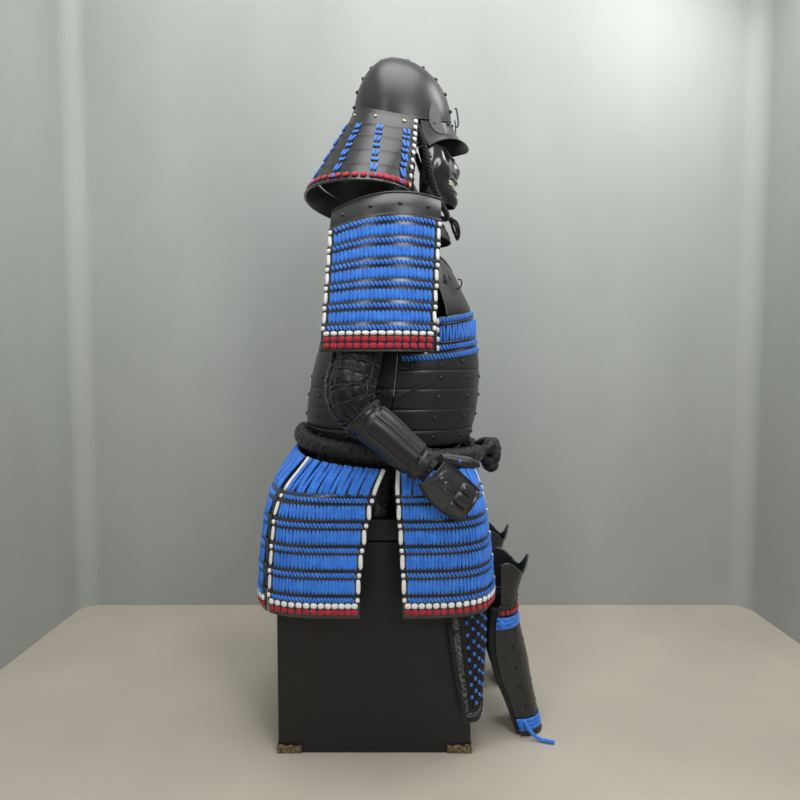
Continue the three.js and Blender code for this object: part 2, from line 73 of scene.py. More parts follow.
def smooth(pairs):
    # one smooth value through (place, value) pairs
    def slope(i):
        a, b = pairs[max(i - 1, 0)], pairs[min(i + 1, len(pairs) - 1)]
        return (b[1] - a[1]) / (b[0] - a[0])

    def valueAt(place):
        x = min(max(place, pairs[0][0]), pairs[-1][0])
        i = 0
        while i < len(pairs) - 2 and x >= pairs[i + 1][0]:
            i += 1
        (x0, y0), (x1, y1) = pairs[i], pairs[i + 1]
        h = x1 - x0
        t = (x - x0) / h
        rise = (y1 - y0) * t * t * (3 - 2 * t)
        return y0 + rise + slope(i) * h * t * (1 - t) ** 2 - slope(i + 1) * h * t * t * (1 - t)

    return valueAt


def bump(x, width):
    return math.exp(-((x / width) ** 2))


def fold(angle):
    return abs((angle + 540) % 360 - 180)  # 0 at the front, 180 at the back


def ring(half, front, back, roundness, angle, z):
    # angle 0 is the front, 90 the right side, 180 the back
    s, c = math.sin(math.radians(angle)), math.cos(math.radians(angle))
    deep = (back - front) / 2
    spread = abs(s / half) ** roundness + abs(c / deep) ** roundness
    reach = spread ** (-1 / roundness)
    return Vector((-reach * s, (front + back) / 2 - reach * c, z))


def wayOn(line, step=0.01):
    # the direction of a line at a share of its length, from two points close by
    return lambda share: (line(min(share + step, 1)) - line(max(share - step, 0))).normalized()


def curveThrough(points):
    # a point and direction on a smooth line through the points, share 0 to 1
    spots = [Vector(p) for p in points]

    def at(share):
        x = min(max(share, 0.0), 1.0) * (len(spots) - 1)
        i = min(int(x), len(spots) - 2)
        t = x - i
        p1, p2 = spots[i], spots[i + 1]
        p0 = spots[i - 1] if i > 0 else p1 * 2 - p2
        p3 = spots[i + 2] if i + 2 < len(spots) else p2 * 2 - p1
        m1, m2 = (p2 - p0) / 2, (p3 - p1) / 2
        t2, t3 = t * t, t * t * t
        return (
            p1 * (2 * t3 - 3 * t2 + 1) + m1 * (t3 - 2 * t2 + t) + p2 * (3 * t2 - 2 * t3) + m2 * (t3 - t2)
        )

    return at, wayOn(at, 0.005)


def turnedOver(mirror):
    # a left-hand piece is the right-hand one turned over
    return (lambda p: Vector((-p.x, p.y, p.z))) if mirror else (lambda p: p)


def standOff(base, inside, around=False):
    # base(u, v) gives a point, and the result also moves it out from the point `inside`
    middle = Vector(inside)

    def at(u, v, out=0.0):
        spot = base(u, v)
        if not out:
            return spot
        return spot + facing(u, v) * out

    def facing(u, v):
        u0, u1 = (u - 0.004, u + 0.004) if around else (max(u - 0.004, 0), min(u + 0.004, 1))
        v0, v1 = max(v - 0.004, 0), min(v + 0.004, 1)
        way = (base(u1, v) - base(u0, v)).cross(base(u, v1) - base(u, v0)).normalized()
        return way if way.dot(base(u, v) - middle) > 0 else -way

    at.facing = facing
    return at


def gridOnto(bm, nu, nv, pointAt):
    # a grid shape laid onto pointAt(u, v)
    made = bmesh.ops.create_grid(bm, x_segments=nu, y_segments=nv, size=1, calc_uvs=True)["verts"]
    for v in made:
        v.co = pointAt((v.co.x + 1) / 2, (v.co.y + 1) / 2)
    faces = {f for v in made for f in v.link_faces}
    return made, list(faces)


def turnOut(bm, faces, middle):
    # turns an open sheet so that it faces away from the middle
    bm.normal_update()
    centre = Vector(middle)
    total = sum(f.normal.dot(f.calc_center_median() - centre) * f.calc_area() for f in faces)
    if total < 0:
        bmesh.ops.reverse_faces(bm, faces=faces)


def newBmesh():
    bm = bmesh.new()
    bm.loops.layers.uv.new("UVMap")
    return bm


def finishPiece(name, bm, looks, replaces=(), turn=False):
    if turn:
        bmesh.ops.recalc_face_normals(bm, faces=bm.faces[:])
    bmesh.ops.scale(bm, vec=(mm, mm, mm), verts=bm.verts[:])
    mesh = bpy.data.meshes.new(name)
    bm.to_mesh(mesh)
    bm.free()
    mesh.polygons.foreach_set("use_smooth", [True] * len(mesh.polygons))
    for look in looks if isinstance(looks, (list, tuple)) else [looks]:
        mesh.materials.append(materials[look])
    piece = bpy.data.objects.new(name, mesh)
    scene.collection.objects.link(piece)
    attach(piece, "root")
    if replaces:
        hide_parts(*([replaces] if isinstance(replaces, str) else replaces))
    return piece


def addWall(piece, thick, bevel=0.5, segments=2):
    wall = piece.modifiers.new("wall", "SOLIDIFY")
    wall.thickness = thick * mm
    wall.offset = -1
    wall.use_even_offset = False
    if bevel:
        edge = piece.modifiers.new("edge", "BEVEL")
        edge.width = bevel * mm
        edge.segments = segments
        edge.limit_method = "ANGLE"
        edge.angle_limit = math.radians(50)
        edge.harden_normals = False
    return piece


def shell(name, base, nu, nv, thick, look, inside, replaces=(), around=False, bevel=0.5):
    # one curved plate or cloth with a wall of its own
    bm = newBmesh()
    faces = gridOnto(bm, nu, nv, base)[1]
    if around:
        bmesh.ops.remove_doubles(bm, verts=bm.verts[:], dist=0.01)
        faces = bm.faces[:]
    turnOut(bm, faces, inside)
    return addWall(finishPiece(name, bm, look, replaces), thick, bevel)


def template(kind, **size):
    # a small shape that is stamped many times
    bm = newBmesh()
    if kind == "dome":
        bmesh.ops.create_uvsphere(bm, u_segments=10, v_segments=6, radius=0.5, calc_uvs=True)
    elif kind == "bead":
        bmesh.ops.create_uvsphere(bm, u_segments=8, v_segments=6, radius=0.5, calc_uvs=True)
        for v in bm.verts:  # squares the bead up a little, as a pulled cross knot
            v.co.x = math.copysign(abs(v.co.x * 2) ** 0.72, v.co.x) / 2
            v.co.y = math.copysign(abs(v.co.y * 2) ** 0.72, v.co.y) / 2
    elif kind == "strand":
        # a flat braid lying along y, thick in the middle and pointed at its ends
        bmesh.ops.create_uvsphere(bm, u_segments=8, v_segments=8, radius=0.5, calc_uvs=True)
        upright = Matrix.Rotation(math.radians(90), 3, "X")
        bmesh.ops.rotate(bm, cent=(0, 0, 0), matrix=upright, verts=bm.verts[:])
        for v in bm.verts:
            share = abs(v.co.y) * 2
            full = (1 - share**size.get("point", 5)) ** 0.5 if share < 1 else 0
            round0 = math.sqrt(max(1 - share * share, 1e-6))
            v.co.x *= full / round0 if share < 1 else 0
            v.co.z *= full / round0 if share < 1 else 0
    mesh = bpy.data.meshes.new("template " + kind)
    bm.to_mesh(mesh)
    bm.free()
    return mesh


def frameAt(spot, across, out):
    # a placing matrix: x across, z out of the surface, y along it
    z = out.normalized()
    x = (across - z * across.dot(z)).normalized()
    y = z.cross(x)
    return Matrix((
        (x.x, y.x, z.x, spot.x), (x.y, y.y, z.y, spot.y), (x.z, y.z, z.z, spot.z), (0, 0, 0, 1),
    ))


def stamp(bm, shape, matrix, size, twist=0.0):
    # adds one copy of the small shape, `size` wide, long and thick, turned by `twist` on the surface
    copy = shape.copy()
    copy.transform(matrix @ Matrix.Rotation(math.radians(twist), 4, "Z") @ Matrix.Diagonal((*size, 1)))
    bm.from_mesh(copy)
    bpy.data.meshes.remove(copy)


def onSurface(at, u, v, out=0.0):
    # the placing matrix at (u, v), x along rising u
    step = 0.004
    across = at(min(u + step, 1), v) - at(max(u - step, 0), v)
    return frameAt(at(u, v, out), across, at.facing(u, v))


def tubeAlong(bm, at, along, radius, steps, sides=8, squash=1.0, upward=(0, 0, 1)):
    # a round bar along a line: a grid rolled into a tube, with its ends filled
    lift = Vector(upward)

    def spot(u, v):
        middle, way = at(v), along(v)
        side = way.cross(lift).normalized()
        top = side.cross(way).normalized()
        a = 2 * math.pi * u
        size = radius(v) if callable(radius) else radius
        return middle + side * (size * math.cos(a)) + top * (size * squash * math.sin(a))

    made, faces = gridOnto(bm, sides, steps, spot)
    bmesh.ops.remove_doubles(bm, verts=made, dist=0.005)
    left = {e for f in faces if f.is_valid for e in f.edges if e.is_boundary}
    bmesh.ops.holes_fill(bm, edges=list(left), sides=sides)


def twistedBar(bm, at, along, radius, length, pitch, strands=2, sides=6):
    # a cord of strands laid round one another
    turns = length / pitch
    for k in range(strands):
        def strandAt(v, k=k):
            way = along(v)
            side = way.cross(Vector((0.02, 0.03, 1))).normalized()
            top = side.cross(way).normalized()
            a = 2 * math.pi * (turns * v + k / strands)
            return at(v) + (side * math.cos(a) + top * math.sin(a)) * radius * 0.5

        steps = int(turns * 8) + 4
        tubeAlong(bm, strandAt, wayOn(strandAt, 0.002), radius * 0.56, steps, sides)


# ---- materials ----

materials = {}


def startMaterial(name, colour, rough, metal=0.0, coat=0.0, coatRough=0.1, sheen=0.0, specular=0.5):
    made = bpy.data.materials.new(name)
    made.use_nodes = True
    tree = made.node_tree
    shader = tree.nodes["Principled BSDF"]
    shader.inputs["Base Color"].default_value = (*colour, 1)
    shader.inputs["Roughness"].default_value = rough
    shader.inputs["Metallic"].default_value = metal
    shader.inputs["Coat Weight"].default_value = coat
    shader.inputs["Coat Roughness"].default_value = coatRough
    shader.inputs["Sheen Weight"].default_value = sheen
    shader.inputs["Sheen Roughness"].default_value = 0.4
    shader.inputs["Specular IOR Level"].default_value = specular
    materials[name] = made
    return tree, shader


def addNode(tree, kind, inputs=None, **settings):
    node = tree.nodes.new(kind)
    for key, value in settings.items():
        setattr(node, key, value)
    for key, value in (inputs or {}).items():
        if isinstance(value, bpy.types.NodeSocket):
            tree.links.new(value, node.inputs[key])
        else:
            node.inputs[key].default_value = value
    return node


def noiseOn(tree, source, scale, detail=4.0, rough=0.55, stretch=None):
    where = source
    if stretch:
        where = addNode(tree, "ShaderNodeMapping", {"Vector": source, "Scale": stretch}).outputs[0]
    made = addNode(
        tree, "ShaderNodeTexNoise", {"Vector": where, "Scale": scale, "Detail": detail, "Roughness": rough}
    )
    return made.outputs["Fac"]


def rampOn(tree, source, stops):
    made = addNode(tree, "ShaderNodeValToRGB", {"Fac": source})
    while len(made.color_ramp.elements) < len(stops):
        made.color_ramp.elements.new(0.5)
    for element, (place, colour) in zip(made.color_ramp.elements, stops):
        element.position = place
        element.color = (*colour, 1) if len(colour) == 3 else colour
    return made.outputs["Color"]


def spread(tree, source, low, high, fromLow=0.3, fromHigh=0.7):
    made = addNode(
        tree,
        "ShaderNodeMapRange",
        {"Value": source, "From Min": fromLow, "From Max": fromHigh, "To Min": low, "To Max": high},
    )
    return made.outputs["Result"]


def mathOn(tree, operation, first, second=0.0):
    made = addNode(tree, "ShaderNodeMath", operation=operation)
    for i, value in enumerate((first, second)):
        if isinstance(value, bpy.types.NodeSocket):
            tree.links.new(value, made.inputs[i])
        else:
            made.inputs[i].default_value = value
    return made.outputs[0]


def bumpOn(tree, shader, heights):
    # heights: (value, strength, distance in metres), the coarse first
    last = None
    for value, strength, distance in heights:
        node = addNode(
            tree, "ShaderNodeBump", {"Height": value, "Strength": strength, "Distance": distance}
        )
        if last:
            tree.links.new(last.outputs[0], node.inputs["Normal"])
        last = node
    tree.links.new(last.outputs[0], shader.inputs["Normal"])


def lacquer(name, colour, rough, coat, worn, peel=0.05):
    # painted plate: soft cloudy gloss, fine dust and faint orange peel
    tree, shader = startMaterial(name, colour, sum(rough) / 2, coat=coat, coatRough=0.25)
    place = addNode(tree, "ShaderNodeTexCoord").outputs["Object"]
    cloud = noiseOn(tree, place, 9.0, 6.0)
    fine = noiseOn(tree, place, 900.0, 2.0)
    streak = noiseOn(tree, place, 40.0, 6.0, stretch=(1, 1, 9))
    base = rampOn(tree, cloud, [(0.3, colour), (0.75, tuple(c * worn for c in colour))])
    scratch = rampOn(tree, streak, [(0.70, (0, 0, 0)), (0.78, (1, 1, 1))])
    tinted = addNode(tree, "ShaderNodeMix", data_type="RGBA")
    tree.links.new(mathOn(tree, "MULTIPLY", scratch, 0.10), tinted.inputs[0])
    tree.links.new(base, tinted.inputs[6])
    tinted.inputs[7].default_value = (0.09, 0.09, 0.095, 1)
    tree.links.new(tinted.outputs[2], shader.inputs["Base Color"])
    tree.links.new(spread(tree, cloud, rough[0], rough[1]), shader.inputs["Roughness"])
    bumpOn(tree, shader, [(cloud, 0.08, 0.002), (fine, peel, 0.0003)])


def braid(name, dark, light):
    # flat silk braid: a herring-bone of plaits that follows each strand
    tree, shader = startMaterial(name, light, 0.72, sheen=0.35, specular=0.3)
    flat = addNode(tree, "ShaderNodeTexCoord")
    split = addNode(tree, "ShaderNodeSeparateXYZ", {"Vector": flat.outputs["UV"]})
    side = mathOn(tree, "ABSOLUTE", mathOn(tree, "SUBTRACT", mathOn(tree, "FRACT", mathOn(
        tree, "MULTIPLY", split.outputs[0], 4.0)), 0.5))
    slope = mathOn(tree, "ADD", mathOn(tree, "MULTIPLY", split.outputs[1], 9.0), side)
    plait = mathOn(tree, "SINE", mathOn(tree, "MULTIPLY", slope, 2 * math.pi))
    height = spread(tree, plait, 0, 1, -1, 1)
    tone = noiseOn(tree, flat.outputs["Object"], 60.0, 4.0)
    fibre = noiseOn(tree, flat.outputs["Object"], 1500.0, 2.0)
    mixed = mathOn(tree, "ADD", mathOn(tree, "MULTIPLY", height, 0.16), mathOn(tree, "MULTIPLY", tone, 0.85))
    tree.links.new(rampOn(tree, mixed, [(0.15, dark), (0.75, light)]), shader.inputs["Base Color"])
    bumpOn(tree, shader, [(height, 0.3, 0.0005), (fibre, 0.25, 0.0002)])


def fabric(name, dark, light, rough, sheen, crease, weave, weaveScale, creaseScale=22.0):
    tree, shader = startMaterial(name, light, rough, sheen=sheen, specular=0.35)
    place = addNode(tree, "ShaderNodeTexCoord").outputs["Object"]
    soft = noiseOn(tree, place, creaseScale, 5.0)
    fine = noiseOn(tree, place, weaveScale, 3.0, 0.7)
    cells = addNode(tree, "ShaderNodeTexVoronoi", {"Vector": place, "Scale": weaveScale * 0.6})
    tree.links.new(rampOn(tree, fine, [(0.3, dark), (0.7, light)]), shader.inputs["Base Color"])
    tree.links.new(spread(tree, soft, rough - 0.12, rough + 0.1), shader.inputs["Roughness"])
    bumpOn(
        tree, shader,
        [(soft, crease, 0.004), (cells.outputs["Distance"], weave, 0.0008), (fine, weave, 0.0004)],
    )


def metal(name, dark, light, rough):
    tree, shader = startMaterial(name, light, rough, metal=1.0)
    place = addNode(tree, "ShaderNodeTexCoord").outputs["Object"]
    cloud = noiseOn(tree, place, 160.0, 5.0)
    tree.links.new(rampOn(tree, cloud, [(0.35, dark), (0.65, light)]), shader.inputs["Base Color"])
    tree.links.new(spread(tree, cloud, rough + 0.15, rough - 0.08), shader.inputs["Roughness"])
    bumpOn(tree, shader, [(cloud, 0.3, 0.0005)])


def brocade(name, ground, figure):
    # small scrolling figures in silver thread on black
    tree, shader = startMaterial(name, figure, 0.55, sheen=0.2)
    place = addNode(tree, "ShaderNodeTexCoord").outputs["Object"]
    cells = addNode(tree, "ShaderNodeTexVoronoi", {"Vector": place, "Scale": 90.0}, feature="SMOOTH_F1")
    rings = mathOn(tree, "SINE", mathOn(tree, "MULTIPLY", cells.outputs["Distance"], 26.0))
    thread = noiseOn(tree, place, 1200.0, 2.0)
    tree.links.new(rampOn(tree, spread(tree, rings, 0, 1, -1, 1), [(0.45, ground), (0.6, figure)]),
                   shader.inputs["Base Color"])
    bumpOn(tree, shader, [(rings, 0.3, 0.0006), (thread, 0.3, 0.0002)])


def woodGrain(name, dark, light):
    tree, shader = startMaterial(name, light, 0.55)
    place = addNode(tree, "ShaderNodeTexCoord").outputs["Object"]
    grain = noiseOn(tree, place, 30.0, 8.0, 0.6, stretch=(6, 6, 0.5))
    tree.links.new(rampOn(tree, grain, [(0.3, dark), (0.7, light)]), shader.inputs["Base Color"])
    bumpOn(tree, shader, [(grain, 0.2, 0.0006)])


def makeMaterials():
    lacquer("box lacquer", (0.0025, 0.003, 0.004), (0.40, 0.52), 0.0, 2.2)
    lacquer("helmet lacquer", (0.012, 0.012, 0.013), (0.36, 0.46), 0.15, 1.6, 0.10)
    lacquer("plate lacquer", (0.010, 0.010, 0.011), (0.34, 0.48), 0.15, 1.8, 0.10)
    lacquer("lame lacquer", (0.016, 0.016, 0.018), (0.18, 0.30), 0.5, 1.8)
    lacquer("mask lacquer", (0.008, 0.008, 0.009), (0.12, 0.20), 0.6, 1.5, 0.03)
    lacquer("mesh groove", (0.020, 0.020, 0.022), (0.45, 0.6), 0.0, 3.0, 0.8)
    braid("blue lacing", (0.014, 0.10, 0.55), (0.06, 0.30, 0.95))
    braid("white braid", (0.78, 0.78, 0.77), (0.95, 0.95, 0.93))
    braid("crimson braid", (0.20, 0.006, 0.016), (0.60, 0.030, 0.055))
    fabric("black satin", (0.003, 0.003, 0.004), (0.010, 0.010, 0.012), 0.30, 0.05, 1.0, 0.15, 900.0, 70.0)
    fabric("sash crepe", (0.003, 0.003, 0.003), (0.014, 0.014, 0.016), 0.34, 0.1, 1.0, 1.0, 170.0, 130.0)
    fabric("black cord", (0.006, 0.006, 0.006), (0.022, 0.022, 0.024), 0.75, 0.3, 0.2, 0.4, 1200.0)
    fabric("blue lining", (0.004, 0.010, 0.05), (0.014, 0.035, 0.18), 0.8, 0.2, 0.3, 0.3, 900.0)
    brocade("silver brocade", (0.008, 0.008, 0.010), (0.12, 0.125, 0.14))
    metal("antique bronze", (0.08, 0.06, 0.035), (0.42, 0.34, 0.20), 0.42)
    metal("pale brass", (0.45, 0.36, 0.18), (0.80, 0.70, 0.45), 0.28)
    lacquer("ivory lacquer", (0.56, 0.52, 0.40), (0.22, 0.32), 0.4, 1.5)
    woodGrain("stand wood", (0.010, 0.009, 0.008), (0.030, 0.026, 0.023))


print("materials")
makeMaterials()
makeCamera()
beadShape = template("bead")
domeShape = template("dome")
strandShape = template("strand", point=5)
pointedShape = template("strand", point=3.0)

# ---- armour box and inner stand ----

boxSet = {"half": 203, "height": 500, "lidHeight": 45, "lidProud": 2, "wall": 10}
cornerSet = {"reach": 52, "height": 22, "thick": 2.4, "scroll": 5.5}
standHalf = 18


def roundedBlock(bm, low, high, bevel, segments=3):
    made = bmesh.ops.create_cube(bm, size=1)["verts"]
    low, high = Vector(low), Vector(high)
    bmesh.ops.scale(bm, vec=high - low, verts=made)
    bmesh.ops.translate(bm, vec=(low + high) / 2, verts=made)
    edges = list({e for v in made for e in v.link_edges})
    bmesh.ops.bevel(
        bm, geom=edges, offset=bevel, segments=segments, profile=0.5, affect="EDGES", material=-1
    )


def makeBox():
    half, wall = boxSet["half"], boxSet["wall"]
    lidFrom = boxSet["height"] - boxSet["lidHeight"]
    bm = newBmesh()
    made = bmesh.ops.create_cube(bm, size=1)["verts"]
    bmesh.ops.scale(bm, vec=(2 * half, 2 * half, lidFrom - 0.4), verts=made)
    bmesh.ops.translate(bm, vec=(0, 0, (lidFrom - 0.4) / 2), verts=made)
    top = [f for f in bm.faces if f.normal.z > 0.9]
    bmesh.ops.inset_region(bm, faces=top, thickness=wall)
    bmesh.ops.translate(bm, vec=(0, 0, -(lidFrom - wall)), verts=top[0].verts)
    bmesh.ops.bevel(bm, geom=bm.edges[:], offset=2.2, segments=3, profile=0.5, affect="EDGES", material=-1)
    finishPiece("boxBody", bm, "box lacquer", "box_body", turn=True)
    outer = half + boxSet["lidProud"]
    bm = newBmesh()
    made = bmesh.ops.create_cube(bm, size=1)["verts"]
    bmesh.ops.scale(bm, vec=(2 * outer, 2 * outer, boxSet["lidHeight"]), verts=made)
    bmesh.ops.translate(bm, vec=(0, 0, boxSet["height"] - boxSet["lidHeight"] / 2), verts=made)
    under = [f for f in bm.faces if f.normal.z < -0.9]
    bmesh.ops.inset_region(bm, faces=under, thickness=wall + 2)
    bmesh.ops.translate(bm, vec=(0, 0, boxSet["lidHeight"] - wall), verts=under[0].verts)
    bmesh.ops.bevel(bm, geom=bm.edges[:], offset=2.6, segments=4, profile=0.5, affect="EDGES", material=-1)
    finishPiece("boxLid", bm, "box lacquer", "box_lid", turn=True)


def makeCorners():
    # bronze fittings with a scrolled upper edge, bent round each bottom corner
    half = boxSet["half"] + 0.4
    reach, height = cornerSet["reach"], cornerSet["height"]
    for i in range(4):
        bm = newBmesh()

        def plateAt(u, v):
            s = (2 * u - 1) * reach
            wave = cornerSet["scroll"] * (abs(math.sin(math.pi * 2.5 * abs(2 * u - 1))) - 0.4)
            tall = height - 6 + wave * (0.4 + 0.6 * (1 - abs(2 * u - 1)))
            out = half + cornerSet["thick"]
            x, y = (out, out + s) if s < 0 else (out - s, out)
            return Vector((x, y, 1.2 + v * tall))

        faces = gridOnto(bm, 40, 4, plateAt)[1]
        turnOut(bm, faces, (0, 0, 10))
        for s in (-0.78, -0.3, 0.3, 0.78):
            spot = plateAt((s + 1) / 2, 0.42)
            out = Vector((1, 0, 0)) if s < 0 else Vector((0, 1, 0))
            across = Vector((0, 1, 0)) if s < 0 else Vector((-1, 0, 0))
            stamp(bm, domeShape, frameAt(spot, across, out), (4, 4, 2.2))
        turn = Matrix.Rotation(math.radians(90 * i), 3, "Z")
        bmesh.ops.rotate(bm, cent=(0, 0, 0), matrix=turn, verts=bm.verts[:])
        piece = finishPiece(f"boxCorner{i + 1}", bm, "antique bronze", f"box_corner_{i + 1}")
        addWall(piece, 2.0, 0.3)


def makeStand():
    for name in ("stand_post", "stand_crossbar"):
        low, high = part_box(name)
        bm = newBmesh()
        if name == "stand_post":
            foot = low.copy()
            roundedBlock(bm, foot / mm, (high.x / mm, high.y / mm, low.z / mm + 12), 3)
            middle = (low + high) / 2 / mm
            half = standHalf
            roundedBlock(
                bm, (middle.x - half, middle.y - half, low.z / mm + 6),
                (middle.x + half, middle.y + half, high.z / mm), 3,
            )
        else:
            roundedBlock(bm, low / mm, high / mm, 8, 4)
        finishPiece(name.replace("_", " ").title().replace(" ", ""), bm, "stand wood", name)
    bm = bmesh.new()
    bm.from_mesh(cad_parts["stand_head"].data)
    bmesh.ops.remove_doubles(bm, verts=bm.verts[:], dist=0.00002)
    bmesh.ops.join_triangles(
        bm, faces=bm.faces[:], angle_face_threshold=0.7, angle_shape_threshold=0.9,
        cmp_seam=False, cmp_sharp=False, cmp_uvs=False, cmp_vcols=False, cmp_materials=False,
    )
    bmesh.ops.scale(bm, vec=(1 / mm, 1 / mm, 1 / mm), verts=bm.verts[:])
    head = finishPiece("standHead", bm, "stand wood", "stand_head")
    soft = head.modifiers.new("soft", "SUBSURF")
    soft.levels = soft.render_levels = 1


print("armour box and stand")
makeBox()
makeCorners()
makeStand()

# ---- helmet ----

bowlSet = {"half": 96, "apexY": -38, "apexZ": 1515, "front": 131, "back": 87, "thick": 2.2}
bowlRimZ = smooth([(0, 1373), (45, 1352), (70, 1350), (110, 1364), (150, 1384), (180, 1391)])
ridgeSet = {"width": 7, "height": 2.2, "studs": 11, "stud": 9.5, "studTall": 9.5}
templeSet = {"angle": 45, "wide": 8.5, "rise": 15, "drop": 0.62, "thick": 3}
brimSet = {
    "halfAngle": 63, "tipY": -213, "tipZ": 1312, "half": 103, "arch": 9, "ears": 26, "gap": 1.4, "droop": 5,
}
neckSet = {
    "top": 3.4, "half": 220, "front": 105, "back": 159, "z": 1176, "rise": 22, "step": 1.1,
    "ends": (65.5, 47),
}
neckShares = [0, 0.2, 0.37, 0.57, 0.77, 1]
neckLacing = {"columns": 4, "wide": 6.5, "pair": 9, "knot": 10.5, "redKnots": 40}
chinCordPoints = [
    (-92, -92, 1334), (-91, -104, 1300), (-88, -116, 1255), (-80, -128, 1210), (-60, -146, 1176),
    (-28, -160, 1163), (0, -163, 1160), (28, -160, 1163), (60, -146, 1176), (80, -128, 1210),
    (88, -116, 1255), (91, -104, 1300), (92, -92, 1334),
]
helmetMiddle = (0, -55, 1380)


def bowlRim(angle, out=0.0):
    reach = bowlSet["front"] if fold(angle) < 90 else bowlSet["back"]
    s, c = math.sin(math.radians(angle)), math.cos(math.radians(angle))
    return Vector((
        -(bowlSet["half"] + out) * s, bowlSet["apexY"] - (reach + out) * c, bowlRimZ(fold(angle)),
    ))


def bowlPoint(angle, rise):
    rim = bowlRim(angle)
    r = math.radians(rise)
    return Vector((
        rim.x * math.cos(r),
        bowlSet["apexY"] + (rim.y - bowlSet["apexY"]) * math.cos(r),
        rim.z + (bowlSet["apexZ"] - rim.z) * math.sin(r),
    ))


def makeBowl():
    bm = newBmesh()
    bowlOn = standOff(lambda u, v: bowlPoint(360 * u, 90 * v), helmetMiddle, around=True)
    gridOnto(bm, 96, 28, lambda u, v: bowlOn(u, v))
    bmesh.ops.remove_doubles(bm, verts=bm.verts[:], dist=0.02)
    turnOut(bm, bm.faces[:], helmetMiddle)
    bowl = finishPiece("helmetBowl", bm, "helmet lacquer", "helmet_bowl")
    addWall(bowl, bowlSet["thick"], 0.6)
    # ridge strip from the brow over the crown to the nape, with its row of studs
    bm = newBmesh()

    def along(v):
        return (0, 90 * v * 2) if v < 0.5 else (180, 90 * (2 - 2 * v))

    def ridgeAt(u, v):
        angle, rise = along(v)
        spot = bowlPoint(angle, min(rise, 89.9))
        around = math.cos(math.pi * (u - 0.5))
        out = (spot - Vector(helmetMiddle)).normalized()
        side = Vector(((u - 0.5) * ridgeSet["width"], 0, 0))
        return spot + side + out * (0.2 + ridgeSet["height"] * around)

    faces = gridOnto(bm, 6, 60, ridgeAt)[1]
    turnOut(bm, faces, helmetMiddle)
    for k in range(ridgeSet["studs"]):
        v = lerp(0.06, 0.955, k / (ridgeSet["studs"] - 1))
        angle, rise = along(v)
        spot = bowlPoint(angle, rise)
        out = (spot - Vector((0, -52, 1395))).normalized()
        size = (ridgeSet["stud"], ridgeSet["stud"], ridgeSet["studTall"])
        stamp(bm, domeShape, frameAt(spot + out * 2.6, Vector((1, 0, 0)), out), size)
    finishPiece("helmetRidge", bm, "helmet lacquer")
    # rim bead where the neck guard hangs
    bm = newBmesh()
    tubeAlong(
        bm, lambda v: bowlRim(360 * v, 1.4) + Vector((0, 0, 3)),
        lambda v: (bowlRim(360 * v + 1) - bowlRim(360 * v - 1)).normalized(), 2.0, 96, 8,
    )
    finishPiece("helmetRimBead", bm, "helmet lacquer")


def makeTemples():
    # oval boss plates over each temple, half on the bowl and half on the brim
    brimOn = standOff(brimAt, (0, -100, 1300))
    for side, sign in (("Right", 1), ("Left", -1)):
        bm = newBmesh()
        made = bmesh.ops.create_circle(bm, cap_ends=True, segments=48, radius=1)["verts"]
        faces = list({f for v in made for f in v.link_faces})
        for step in (0.08, 0.12, 0.3, 0.3):
            bmesh.ops.inset_region(bm, faces=faces, thickness=step * 0.9)
        for v in bm.verts:
            r = min(v.co.length, 1)
            angle = sign * (templeSet["angle"] + v.co.x * templeSet["wide"])
            out = 1.2 + templeSet["thick"] * (1 - r**4) + (1.4 if 0.86 < r < 0.97 else 0)
            if v.co.y > 0:
                spot = bowlPoint(angle, v.co.y * templeSet["rise"])
                v.co = spot + (spot - Vector(helmetMiddle)).normalized() * out
            else:
                share = (angle / brimSet["halfAngle"] + 1) / 2
                v.co = brimOn(share, -v.co.y * templeSet["drop"], out)
        turnOut(bm, bm.faces[:], helmetMiddle)
        finishPiece(f"templeBoss{side}", bm, "helmet lacquer")


def brimAt(u, v):
    angle = lerp(-brimSet["halfAngle"], brimSet["halfAngle"], u)
    root = bowlRim(angle, brimSet["gap"])
    s, c = math.sin(math.radians(angle)), math.cos(math.radians(angle))
    archZ = brimSet["arch"] * math.sin(math.radians(2 * angle)) ** 2
    archZ -= brimSet["ears"] * (angle / brimSet["halfAngle"]) ** 4
    edge = Vector((
        -brimSet["half"] * s, bowlSet["apexY"] + (brimSet["tipY"] - bowlSet["apexY"]) * c,
        brimSet["tipZ"] + archZ,
    ))
    hollow = brimSet["droop"] * math.sin(math.pi * v)
    return root.lerp(edge, v) + Vector((0, hollow * c * 0.6, -hollow))


def makeBrim():
    bm = newBmesh()
    brimOn = standOff(brimAt, (0, -100, 1300))
    faces = gridOnto(bm, 60, 14, brimOn)[1]
    turnOut(bm, faces, (0, -80, 1280))
    brim = finishPiece("helmetBrim", bm, "helmet lacquer", "helmet_brim")
    addWall(brim, 2.4, 0.8, 3)
    bm = newBmesh()
    for k in range(5):  # studs that hold the brim to the bowl
        u = lerp(0.12, 0.88, k / 4)
        stamp(bm, domeShape, onSurface(brimOn, u, 0.08, 1), (8, 8, 7))
    # the wire crest holder: a flat tongue and a hooked wire
    tongue = [(0, -183, 1352), (0, -182, 1362), (0, -182, 1372), (0, -180, 1380)]
    at, way = curveThrough(tongue)
    tubeAlong(bm, at, way, 3.2, 10, 8, squash=0.45, upward=(0, -1, 0.1))
    hook = [
        (0, -181, 1366), (0, -187.5, 1367), (0, -187.5, 1384), (0, -184, 1405), (0, -182, 1407),
        (0, -180, 1406),
    ]
    at, way = curveThrough(hook)
    tubeAlong(bm, at, way, 1.9, 22, 8, upward=(1, 0, 0.01))
    finishPiece("crestHolder", bm, "helmet lacquer")


